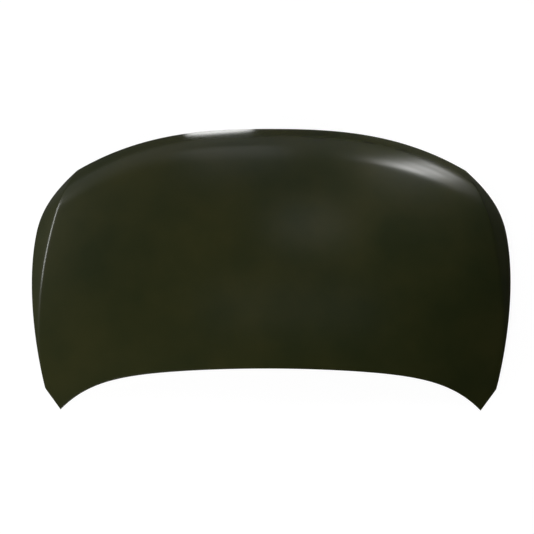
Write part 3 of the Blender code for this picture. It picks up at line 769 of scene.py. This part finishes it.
def circle(centre, diameter, sides=HOLE_SIDES):
    angles = [2 * math.pi * i / sides for i in range(sides)]
    return [centre + Vector((math.cos(a), math.sin(a))) * (diameter / 2) for a in angles]


def press_seat(bm, centre, size, holes, closed):
    """A flat seat with its bolt holes; returns the links of its foot and the foot's two ends."""
    plane = SeatPlane(centre)
    rows = []
    for place in step_places(PAD_WALL_RUN, PAD_BLEND):
        out = PAD_WALL_RUN - place
        line = rounded_rectangle(centre, (size[0] + 2 * out, size[1] + 2 * out), PAD_RADIUS + out, closed)
        share = step_share(place, PAD_WALL_RUN, PAD_BLEND)
        rows.append(row_at(bm, line, lambda x, y: blend(share, frame_z(x, y, PAN_DEPTH), plane.z(x, y))))
    join_rows(bm, rows, closed)
    links = chain(rows[-1])
    for hole in holes:
        links += chain(row_at(bm, circle(hole, HINGE_BOLT_HOLE), plane.z))
    fill(bm, links, plane.z)
    return chain(rows[0], closed), (rows[0][0], rows[0][-1])


# %% Fill a floor between outlines
FLOOR_GRID = 0.016
GRID_CLEARANCE = 0.5 * FLOOR_GRID
INSIDE_LINKS = 1
FILL_TOLERANCE = 1e-6


def between_test(links):
    """A test for spots between outlines: a line across the car meets an odd number of them."""
    starts = np.array([a.co.xy for a, b in links])
    ends = np.array([b.co.xy for a, b in links])
    rise = np.where(ends[:, 1] == starts[:, 1], 1.0, ends[:, 1] - starts[:, 1])

    def is_between(x, y):
        spans = (starts[:, 1] > y) != (ends[:, 1] > y)
        meets = starts[:, 0] + (ends[:, 0] - starts[:, 0]) * (y - starts[:, 1]) / rise
        return np.count_nonzero(spans & (meets > x)) % 2 == 1

    return is_between


def grid_spots(corners, is_between):
    """Spots of a square grid that lie inside, and not too near the outlines."""
    outline_spots = np.array([corner.co.xy for corner in corners])
    low, high = outline_spots.min(axis=0), outline_spots.max(axis=0)
    spots = []
    for x in np.arange(low[0] + FLOOR_GRID, high[0], FLOOR_GRID):
        for y in np.arange(low[1] + FLOOR_GRID, high[1], FLOOR_GRID):
            near = np.abs(outline_spots - (x, y)).max(axis=1).min()
            if near > GRID_CLEARANCE and is_between(x, y):
                spots.append(Vector((x, y)))
    return spots


def fill(bm, links, height):
    """Fill the area between closed outlines with even triangles, as seen from above."""
    corners = list(dict.fromkeys(corner for link in links for corner in link))
    is_between = between_test(links)
    places = {corner: place for place, corner in enumerate(corners)}
    edges = [(places[a], places[b]) for a, b in links]
    corners += row_at(bm, grid_spots(corners, is_between), height)
    spots = [corner.co.xy for corner in corners]
    result = delaunay_2d_cdt(spots, edges, [], INSIDE_LINKS, FILL_TOLERANCE)
    triangles, sources = result[2], result[3]
    for triangle in triangles:
        found = [corners[sources[k][0]] for k in triangle]
        middle = sum((corner.co for corner in found), Vector()) / 3
        if is_between(middle.x, middle.y):
            bm.faces.new(found)


# %% The flange and the channel wall
EDGE_COWL = 12
EDGE_SIDE = 18
FLANGE_ROWS = 5
WIDEST_FLANK = 0.12
HALVINGS = 26


def edge_at(place):
    """The outline at a place counted in stations: cowl, corner, side, nose."""
    if place <= EDGE_COWL:
        x = TIP_X * crowd(place / EDGE_COWL, COWL_CROWDING)
        return Vector((x, cowl_y(x)))
    if place < EDGE_COWL + 1:
        return blend(place - EDGE_COWL, cowl_line[-1], SHOULDER)
    if place <= EDGE_COWL + EDGE_SIDE:
        share = (place - EDGE_COWL - 1) / (EDGE_SIDE - 1)
        return side_curve(crowd(share, NOSE_CROWDING), EDGE_REAR_HANDLE, EDGE_FRONT_HANDLE)
    share = (2 * EDGE_COWL + EDGE_SIDE - place) / EDGE_COWL
    x = NOSE_CORNER_X * crowd(share, COWL_CROWDING)
    return Vector((x, nose_y(x)))


def crease_distance(start, direction):
    """Distance straight inward from a side edge point to the crease; 0 where there is no flank."""
    if not SHOULDER.y < start.y < NOSE_CORNER.y or start.x < NOSE_CORNER_X:
        return 0.0
    low, high = 0.0, WIDEST_FLANK
    for _ in range(HALVINGS):
        middle = (low + high) / 2
        probe = start + direction * middle
        if probe.y < NOSE_CORNER.y and probe.x > crease_x(probe.y):
            low = middle
        else:
            high = middle
    return low


def press_channel(bm):
    """The flange inside the hem and the wall down to the floor; returns the wall's foot."""
    stations = [edge_at(i) for i in range(2 * EDGE_COWL + EDGE_SIDE + 1)]
    widths = [max(FLANGE, crease_distance(p, inward(stations, i))) for i, p in enumerate(stations)]
    flange_line = inset(stations, widths)
    counts = steps_between(stations, False)
    outer = [edge_at(i + step / steps) for i, steps in enumerate(counts) for step in range(steps)]
    outer.append(edge_at(len(counts)))
    inner = refined(inset(flange_line, -PRESS_BLEND), counts)
    rows = []
    for k in range(FLANGE_ROWS + 1):
        line = []
        for a, b in zip(outer, inner):
            first = FLANGE_EDGE_GAP / (b - a).length
            line.append(blend(blend(k / FLANGE_ROWS, first, 1.0), a, b))
        rows.append(place_row(bm, line, SKIN + GAP))
    for place in step_places(PAN_WALL_RUN, PRESS_BLEND)[1:]:
        share = step_share(place, PAN_WALL_RUN, PRESS_BLEND)
        line = []
        for p in refined(inset(flange_line, place), counts):
            depth = blend(share, (SKIN + GAP) / skin_normal(p.x, p.y).z, PAN_DEPTH)
            line.append(bm.verts.new((p.x, p.y, frame_z(p.x, p.y, depth))))
        rows.append(line)
    join_rows(bm, rows)
    return rows[-1]


# %% Press the whole frame
def middle_links(bm, ends, height):
    """Links along x = 0 that close the floor between the shapes cut into it."""
    links = []
    for a, b in zip(ends[::2], ends[1::2]):
        steps = math.ceil((b.co.y - a.co.y) / FLOOR_GRID)
        spots = [blend(step / steps, a.co.xy, b.co.xy) for step in range(1, steps)]
        links += chain([a] + row_at(bm, spots, height) + [b], False)
    return links


def inner_frame():
    """One pressing: flange, edge channel, V ribs, cross rib, windows and seats."""
    bm = bmesh.new()
    foot = press_channel(bm)
    pressed = [press_window(bm, shape, closed) + (closed,) for shape, closed in window_shapes()]
    bolts = [HINGE_SEAT + Vector((end * HINGE_BOLT_SPACING / 2, 0.0)) for end in (-1, 1)]
    pressed.append(press_seat(bm, LATCH_SEAT, LATCH_PAD, (), False) + (False,))
    pressed.append(press_seat(bm, HINGE_SEAT, HINGE_PAD, bolts, True) + (True,))
    links = chain(foot, False)
    ends = [foot[0], foot[-1]]
    for foot_links, foot_ends, closed in pressed:
        links += foot_links
        ends += () if closed else foot_ends

    def floor_height(x, y):
        return frame_z(x, y, PAN_DEPTH)

    for share in LOCATING_HOLE_SHARES:
        hole = circle(blend(share, V_RIB_REAR, V_RIB_FRONT), LOCATING_HOLE)
        links += chain(row_at(bm, hole, floor_height))
    links += middle_links(bm, sorted(ends, key=lambda v: v.co.y), floor_height)
    fill(bm, links, floor_height)
    bm.normal_update()
    bmesh.ops.reverse_faces(bm, faces=[face for face in bm.faces if face.normal.z < 0])
    bm.edges.index_update()
    cut_edges = [e.index for e in bm.edges if e.is_boundary and max(v.co.x for v in e.verts) > ON_MIDDLE]
    piece = mirrored_piece("pressed_frame", bm)
    for i in cut_edges:
        piece.data.edges[i].use_edge_sharp = True
    return piece


frame_piece = inner_frame()
thickness = frame_piece.modifiers.new("Sheet", "SOLIDIFY")
thickness.thickness = INNER
thickness.offset = -1.0
thickness.use_even_offset = True
frame_piece.location = BASE
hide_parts("inner_frame")
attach(frame_piece, "root")
print("frame faces:", len(frame_piece.data.polygons))

# %% [markdown]
# ## The striker and the mastic
#
# The latch catches a U of round rod. A welder runs a bead round each of its feet, so the rod flares
# where it meets its plate. Dabs of mastic are pumped onto the window rims before the skin is laid
# on. Each is squeezed between two sheets that aren't quite parallel, and it bulges at its waist.

# %% Sizes of the small pieces, in metres
STRIKER_PLATE_THICKNESS = 0.0025
STRIKER_ROD = 0.008
STRIKER_SPREAD = 0.044
STRIKER_DROP = 0.034
STRIKER_BEND = 0.012
WELD_LEG = 0.0025
WELD_STEPS = 5
ROUND_SIDES = 28
MASTIC_BULGE = 0.0008
MASTIC_ROWS = 7


# %% The rod
def closed_body(name, bm, rings):
    """A smooth body from rings of points, closed with a face at each end."""
    join_rows(bm, rings, True)
    bm.faces.new(rings[0])
    bm.faces.new(rings[-1])
    bmesh.ops.recalc_face_normals(bm, faces=bm.faces)
    return smooth_piece(name, bm)


def striker_path():
    """The rod's middle line, across and down, with close stations along the welds at its feet."""
    half = STRIKER_SPREAD / 2
    corners = [Vector(p) for p in ((-half, 0.0), (-half, -STRIKER_DROP), (half, -STRIKER_DROP), (half, 0.0))]
    bends = rounded(corners, [False, True, True, False], STRIKER_BEND, False)[1:-1]
    legs = [-WELD_LEG * step / WELD_STEPS for step in range(WELD_STEPS + 1)]
    down = [Vector((-half, leg)) for leg in legs]
    rise = [Vector((half, leg)) for leg in reversed(legs)]
    return down + bends + rise


def striker_loop():
    """A round rod bent to a U, with a weld bead round each foot."""
    bm = bmesh.new()
    path = striker_path()
    rings = []
    for i, spot in enumerate(path):
        first, last = path[max(i - 1, 0)], path[min(i + 1, len(path) - 1)]
        along = (last - first).normalized()
        bead = max(0.0, 1 + spot.y / WELD_LEG)
        radius = STRIKER_ROD / 2 + WELD_LEG * (1 - math.sqrt(1 - bead ** 2))
        ring = []
        for side in range(ROUND_SIDES):
            angle = 2 * math.pi * side / ROUND_SIDES
            across = radius * math.cos(angle)
            ring.append(bm.verts.new((
                spot.x - along.y * across, radius * math.sin(angle), spot.y + along.x * across)))
        rings.append(ring)
    return closed_body("welded_striker", bm, rings)


def hang_from_seat(piece, centre, drop):
    """Stand a piece on the middle of a seat, upright to it and a little below it."""
    plane = SeatPlane(centre)
    upright = Vector((-plane.slope_x, -plane.slope_y, 1.0)).normalized()
    across = Vector((1.0, 0.0, plane.slope_x)).normalized()
    turned = Matrix((across, upright.cross(across), upright)).transposed()
    middle = Vector((*centre, plane.height)) - drop * upright + BASE
    piece.matrix_world = Matrix.Translation(middle) @ turned.to_4x4()


striker = striker_loop()
hang_from_seat(striker, LATCH_SEAT, INNER + 2 * GAP + STRIKER_PLATE_THICKNESS)
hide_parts("striker_loop")
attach(striker, "root")
print("striker faces:", len(striker.data.polygons))


# %% The mastic dabs
def mastic_dab(node):
    """A squeezed dab in the place of its CAD node: both ends follow the sheets."""
    low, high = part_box(node)
    middle = (low + high) / 2 - BASE
    bm = bmesh.new()
    rings = []
    for step in range(MASTIC_ROWS):
        share = step / (MASTIC_ROWS - 1)
        bulge = MASTIC_BULGE * (1 - (2 * share - 1) ** 2)
        ring = []
        for spot in circle(middle.xy, high.x - low.x - MASTIC_BULGE + 2 * bulge, ROUND_SIDES):
            rim = frame_z(spot.x, spot.y, RIM_DEPTH) + GAP
            lining = skin_z(spot.x, spot.y) - SKIN / skin_normal(spot.x, spot.y).z - GAP
            ring.append(bm.verts.new((spot.x, spot.y, blend(share, rim, lining))))
        rings.append(ring)
    dab = closed_body(f"squeezed_{node}", bm, rings)
    dab.location = BASE
    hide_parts(node)
    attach(dab, "root")
    return dab


dabs = [mastic_dab(node) for node in sorted(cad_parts) if node.startswith("mastic")]
print("mastic dabs:", len(dabs))


# %% Break the sharp edges of the plates and nuts
FACE_WELD = 0.00001
EDGE_ROLL = 0.0004
ROLL_SEGMENTS = 2
ROLL_ANGLE = math.radians(40.0)


def soften_edges(piece):
    """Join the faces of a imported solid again, then roll its corners over."""
    piece.modifiers.new("Joined", "WELD").merge_threshold = FACE_WELD
    roll = piece.modifiers.new("Rolled edge", "BEVEL")
    roll.width = EDGE_ROLL
    roll.segments = ROLL_SEGMENTS
    roll.limit_method = "ANGLE"
    roll.angle_limit = ROLL_ANGLE


plated = [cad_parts[name] for name in sorted(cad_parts)
          if name.startswith(("hinge_", "latch_", "striker_plate"))]
for piece in plated:
    soften_edges(piece)
print("plates and nuts:", [piece.name for piece in plated])

# %% [markdown]
# ## The primer
#
# Electrocoat is a thin paint that a charged bath lays on bare steel. It bakes to a satin, slightly
# uneven film: a fine orange peel in its gloss, and soft patches where the film ran a little thicker
# or was wiped down. One flat colour would look like plastic. Three noise scales give it life: wide
# cloudy patches in the colour, a fine ripple in the height, and dust in the roughness.


# %% Shared shader groups
DUST_SCALE = 900.0


def add_node(tree, kind, place, **settings):
    node = tree.nodes.new(kind)
    node.location = place
    for key, value in settings.items():
        setattr(node, key, value)
    return node


def node_material(name):
    """A material made of nodes, with its tree and its surface shader."""
    material = bpy.data.materials.new(name)
    material.use_nodes = True
    tree = material.node_tree
    return material, tree, tree.nodes["Principled BSDF"]


def film_group():
    """Cloudy film thickness: a patch mask, a fine ripple height and a dust mask."""
    group = bpy.data.node_groups.new("film_variation", "ShaderNodeTree")
    sockets = {"INPUT": ("Patch Size", "Ripple Size"), "OUTPUT": ("Patches", "Ripple", "Dust")}
    for direction, names in sockets.items():
        for name in names:
            group.interface.new_socket(name=name, in_out=direction, socket_type="NodeSocketFloat")
    inside = add_node(group, "NodeGroupInput", (-900, 0))
    outside = add_node(group, "NodeGroupOutput", (500, 0))
    place = add_node(group, "ShaderNodeTexCoord", (-900, -200))
    patches = add_node(group, "ShaderNodeTexNoise", (-500, 200))
    patches.inputs["Detail"].default_value = 3.0
    patches.inputs["Roughness"].default_value = 0.45
    ripple = add_node(group, "ShaderNodeTexNoise", (-500, -100))
    ripple.inputs["Detail"].default_value = 1.0
    dust = add_node(group, "ShaderNodeTexNoise", (-500, -400))
    dust.inputs["Scale"].default_value = DUST_SCALE
    dust.inputs["Detail"].default_value = 2.0
    link = group.links.new
    for node in (patches, ripple, dust):
        link(place.outputs["Object"], node.inputs["Vector"])
    link(inside.outputs["Patch Size"], patches.inputs["Scale"])
    link(inside.outputs["Ripple Size"], ripple.inputs["Scale"])
    link(patches.outputs["Fac"], outside.inputs["Patches"])
    link(ripple.outputs["Fac"], outside.inputs["Ripple"])
    link(dust.outputs["Fac"], outside.inputs["Dust"])
    return group


FILM = film_group()


# %% Mix the primer
ORANGE_PEEL = 420.0
RIPPLE_STRENGTH = 0.35
DUST_ROUGHNESS = 0.03
PAINT_IOR = 1.45


def colour_ramp(tree, place, low, high, low_at=0.3, high_at=0.7):
    ramp = add_node(tree, "ShaderNodeValToRGB", place)
    ramp.color_ramp.elements[0].position = low_at
    ramp.color_ramp.elements[0].color = (*low, 1.0)
    ramp.color_ramp.elements[1].position = high_at
    ramp.color_ramp.elements[1].color = (*high, 1.0)
    return ramp


def grey_ramp(tree, place, low, high, low_at=0.3, high_at=0.7):
    return colour_ramp(tree, place, (low,) * 3, (high,) * 3, low_at, high_at)


def film_material(name, thin, thick, satin, ripple_depth, patch_size,
                  ripple_size=ORANGE_PEEL, metallic=0.0):
    """A film with one colour where it is thin, one where it is thick, and satin as mean roughness."""
    material, tree, shader = node_material(name)
    film = add_node(tree, "ShaderNodeGroup", (-900, 0), node_tree=FILM)
    film.inputs["Patch Size"].default_value = patch_size
    film.inputs["Ripple Size"].default_value = ripple_size
    colour = colour_ramp(tree, (-500, 200), thin, thick)
    rough = grey_ramp(tree, (-500, -100), satin - DUST_ROUGHNESS, satin + DUST_ROUGHNESS)
    bump = add_node(tree, "ShaderNodeBump", (-250, -350))
    bump.inputs["Strength"].default_value = RIPPLE_STRENGTH
    bump.inputs["Distance"].default_value = ripple_depth
    link = tree.links.new
    link(film.outputs["Patches"], colour.inputs["Fac"])
    link(film.outputs["Dust"], rough.inputs["Fac"])
    link(film.outputs["Ripple"], bump.inputs["Height"])
    link(colour.outputs["Color"], shader.inputs["Base Color"])
    link(rough.outputs["Color"], shader.inputs["Roughness"])
    link(bump.outputs["Normal"], shader.inputs["Normal"])
    shader.inputs["IOR"].default_value = PAINT_IOR
    shader.inputs["Metallic"].default_value = metallic
    return material


def dress(piece, material):
    if not piece.material_slots:
        piece.data.materials.append(material)
    for place in piece.material_slots:
        place.material = material


dress(skin, film_material(
    "skin_primer", thin=(0.043, 0.045, 0.0130), thick=(0.026, 0.032, 0.0095),
    satin=0.24, ripple_depth=0.00006, patch_size=5.0))
dress(frame_piece, film_material(
    "inner_primer", thin=(0.036, 0.040, 0.012), thick=(0.028, 0.032, 0.009),
    satin=0.38, ripple_depth=0.00005, patch_size=7.0))
print("primed:", skin.name, frame_piece.name)

# %% [markdown]
# ## Zinc and mastic
#
# The striker, plates and nuts come plated. Zinc is a metal, so its colour sits in its reflection,
# and its coat leaves pale, faintly warm clouds. Mastic is a matt paste with a pimpled face. Both
# vary at the same three scales as the primer, so they use the same group with other sizes.

# %% Zinc on the plates and mastic in the dabs
zinc = film_material(
    "zinc_plating", thin=(0.56, 0.55, 0.49), thick=(0.40, 0.41, 0.40),
    satin=0.36, ripple_depth=0.00003, patch_size=90.0, ripple_size=900.0, metallic=1.0)
for piece in plated + [striker]:
    dress(piece, zinc)
mastic = film_material(
    "soft_mastic", thin=(0.052, 0.052, 0.056), thick=(0.030, 0.030, 0.033),
    satin=0.82, ripple_depth=0.0002, patch_size=160.0, ripple_size=700.0)
for dab in dabs:
    dress(dab, mastic)
print("plated:", len(plated) + 1, "in mastic:", len(dabs))

# %% [markdown]
# ## The studio
#
# The bonnet lies in a white studio. Floor and world are white to the camera alone, so they throw
# no white light on the panel. A satin dark film mirrors its room more than it shows its own colour,
# so the room that it sees is dim, with lighter walls at the front left and a dark ceiling. Two broad
# lamps, left and behind, light the panel. The others are placed by what the film mirrors: a stack
# of three draws the bright band at the right of the nose, a low oval one the shine on the nose's
# edge, and three large faint ones the soft grey patches.

# %% The floor
FLOOR_GREY = 0.16
FLOOR_ROUGHNESS = 0.9
FLOOR_GLOW = 0.95
FLOOR_HALF_SIZE = 30.0
FLOOR_BELOW = 0.0005


def floor_material():
    """A matt grey floor that keeps the shadow, and glows almost white for the camera."""
    material, tree, shader = node_material("studio_floor")
    shader.inputs["Roughness"].default_value = FLOOR_ROUGHNESS
    shader.inputs["Specular IOR Level"].default_value = 0.0
    shader.inputs["Base Color"].default_value = (FLOOR_GREY, FLOOR_GREY, FLOOR_GREY, 1.0)
    path = add_node(tree, "ShaderNodeLightPath", (-500, -300))
    seen = add_node(tree, "ShaderNodeMath", (-250, -300), operation="MAXIMUM")
    tree.links.new(path.outputs["Is Camera Ray"], seen.inputs[0])
    tree.links.new(path.outputs["Is Transmission Ray"], seen.inputs[1])
    shader.inputs["Emission Color"].default_value = (1.0, 1.0, 1.0, 1.0)
    glow = add_node(tree, "ShaderNodeMath", (-50, -300), operation="MULTIPLY")
    glow.inputs[1].default_value = FLOOR_GLOW
    tree.links.new(seen.outputs[0], glow.inputs[0])
    tree.links.new(glow.outputs[0], shader.inputs["Emission Strength"])
    return material


floor_mesh = bpy.data.meshes.new("studio_floor")
floor_bm = bmesh.new()
bmesh.ops.create_grid(floor_bm, x_segments=1, y_segments=1, size=FLOOR_HALF_SIZE)
floor_bm.to_mesh(floor_mesh)
floor_bm.free()
floor = bpy.data.objects.new("studio_floor", floor_mesh)
floor.location = (0.0, 0.0, -FLOOR_BELOW)
floor_mesh.materials.append(floor_material())
bpy.context.scene.collection.objects.link(floor)
print("floor half size, m:", FLOOR_HALF_SIZE)

# %% The room
LIT_WALL = (-0.5, 0.85, 0.0)
LIGHT_WALL = 0.36
DARK_WALL = 0.015
WALL_FADE = (-0.1, 0.9)
CEILING_SHARE = 0.25
CEILING_FADE = (0.45, 0.9)


def room_world():
    """A dim room whose walls are lighter to the left and in front, and dark overhead."""
    world = bpy.data.worlds.new("studio_room")
    world.use_nodes = True
    tree = world.node_tree
    background = tree.nodes["Background"]
    place = add_node(tree, "ShaderNodeTexCoord", (-1100, 0))
    parts = add_node(tree, "ShaderNodeSeparateXYZ", (-900, -200))
    side = add_node(tree, "ShaderNodeVectorMath", (-900, 100), operation="DOT_PRODUCT")
    side.inputs[1].default_value = LIT_WALL
    fade_start, fade_end = (end * 0.5 + 0.5 for end in WALL_FADE)
    walls = grey_ramp(tree, (-650, 100), DARK_WALL, LIGHT_WALL, fade_start, fade_end)
    half = add_node(tree, "ShaderNodeMath", (-750, 250), operation="MULTIPLY_ADD")
    half.inputs[1].default_value = 0.5
    half.inputs[2].default_value = 0.5
    ceiling = grey_ramp(tree, (-650, -200), 1.0, CEILING_SHARE, *CEILING_FADE)
    light = add_node(tree, "ShaderNodeMix", (-350, 0), data_type="RGBA", blend_type="MULTIPLY")
    light.inputs["Factor"].default_value = 1.0
    path = add_node(tree, "ShaderNodeLightPath", (-500, 400))
    mix = add_node(tree, "ShaderNodeMix", (-150, 100), data_type="RGBA")
    mix.inputs["B"].default_value = (1.0, 1.0, 1.0, 1.0)
    link = tree.links.new
    link(place.outputs["Generated"], parts.inputs["Vector"])
    link(place.outputs["Generated"], side.inputs[0])
    link(side.outputs["Value"], half.inputs[0])
    link(half.outputs[0], walls.inputs["Fac"])
    link(parts.outputs["Z"], ceiling.inputs["Fac"])
    link(walls.outputs["Color"], light.inputs["A"])
    link(ceiling.outputs["Color"], light.inputs["B"])
    link(light.outputs["Result"], mix.inputs["A"])
    link(path.outputs["Is Camera Ray"], mix.inputs["Factor"])
    link(mix.outputs["Result"], background.inputs["Color"])
    background.inputs["Strength"].default_value = 1.0
    return world


scene = bpy.context.scene
scene.world = room_world()
scene.view_settings.view_transform = "Standard"
print("world:", scene.world.name)


# %% The lamps
def soft_lamp(name, place, aim, size, power, along=(0.0, 0.0, 1.0), spread=180.0):
    """A rectangular softbox that looks at a point, with its second side along a direction."""
    data = bpy.data.lights.new(name, "AREA")
    data.shape = "RECTANGLE"
    data.size, data.size_y = size
    data.energy = power
    data.spread = math.radians(spread)
    lamp = bpy.data.objects.new(name, data)
    back = (Vector(place) - Vector(aim)).normalized()
    across = Vector(along).cross(back).normalized()
    turned = Matrix((across, back.cross(across), back)).transposed()
    lamp.matrix_world = Matrix.Translation(place) @ turned.to_4x4()
    lamp.visible_camera = False
    scene.collection.objects.link(lamp)
    return lamp


# Each lamp: its place, the point it looks at, its two sides in metres, its power in watts
soft_lamp("left_softbox", (-2.9, 1.15, 1.2), (-0.3, 0.0, 0.1), (1.3, 0.9), 36.0)
soft_lamp("rear_softbox", (-1.1, -2.4, 2.1), (0.0, 0.0, 0.1), (1.2, 0.8), 34.0)
soft_lamp("front_softbox", (-0.40, 2.4, 2.1), (-0.09, 0.3, 0.12), (1.1, 1.8), 4.4)
edge_lamp = soft_lamp("nose_edge_softbox", (-0.18, 0.60, 0.01), (-0.17, 0.43, 0.085), (0.24, 0.085), 0.34)
edge_lamp.data.shape = "ELLIPSE"
soft_lamp("ceiling_front", (0.42, 0.96, 3.0), (0.116, 0.087, 0.146), (0.8, 0.45), 0.8, (0.0, 1.0, 0.0))
soft_lamp("ceiling_rear", (0.2, -0.1, 3.2), (0.1, -0.15, 0.12), (2.0, 0.5), 0.7, (0.0, 1.0, 0.0))

BAND_LAMP_PLAN = (1.75, 2.54)
BAND_LAMP_WIDTH = 0.5
BAND_SPREAD = 20.0
for height, tall, power, aim in ((0.48, 0.80, 0.13, (0.57, 0.27, 0.09)),
                                 (1.33, 0.85, 0.27, (0.46, 0.28, 0.11)),
                                 (2.40, 1.10, 0.53, (0.40, 0.27, 0.12))):
    size = (BAND_LAMP_WIDTH, tall)
    soft_lamp("nose_band_softbox", (*BAND_LAMP_PLAN, height), aim, size, power, spread=BAND_SPREAD)
print("lamps:", len(bpy.data.lights))

# %% [markdown]
# ## The camera
#
# The photograph looks steeply down on the panel from behind its windscreen edge, with a long lens
# and a slight roll. The camera is built from those few facts: where it aims, how far off it stands,
# how high it looks from, and how much it is turned and rolled.

# %% Place the camera
FRAME_PIXELS = 534
FOCAL_PIXELS = 1150.0
SENSOR = 0.036
CAMERA_ELEVATION = math.radians(69.5)
CAMERA_YAW = -0.03
CAMERA_ROLL = -0.0265
CAMERA_DISTANCE = 3.4
CAMERA_TARGET = Vector((-0.0105, -0.0284, 0.1007))

forward = Vector((
    math.sin(CAMERA_YAW) * math.cos(CAMERA_ELEVATION),
    math.cos(CAMERA_YAW) * math.cos(CAMERA_ELEVATION),
    -math.sin(CAMERA_ELEVATION)))
right = forward.cross(Vector((0.0, 0.0, 1.0))).normalized()
up = right.cross(forward)
rolled_right = math.cos(CAMERA_ROLL) * right + math.sin(CAMERA_ROLL) * up
rolled_up = math.cos(CAMERA_ROLL) * up - math.sin(CAMERA_ROLL) * right

camera_data = bpy.data.cameras.new("studio_camera")
camera_data.sensor_width = SENSOR * 1000
camera_data.lens = FOCAL_PIXELS / FRAME_PIXELS * SENSOR * 1000
camera = bpy.data.objects.new("studio_camera", camera_data)
camera.matrix_world = Matrix((rolled_right, rolled_up, -forward)).transposed().to_4x4()
camera.location = CAMERA_TARGET - CAMERA_DISTANCE * forward
scene.collection.objects.link(camera)
scene.camera = camera
print("camera at", [round(v, 3) for v in camera.location])
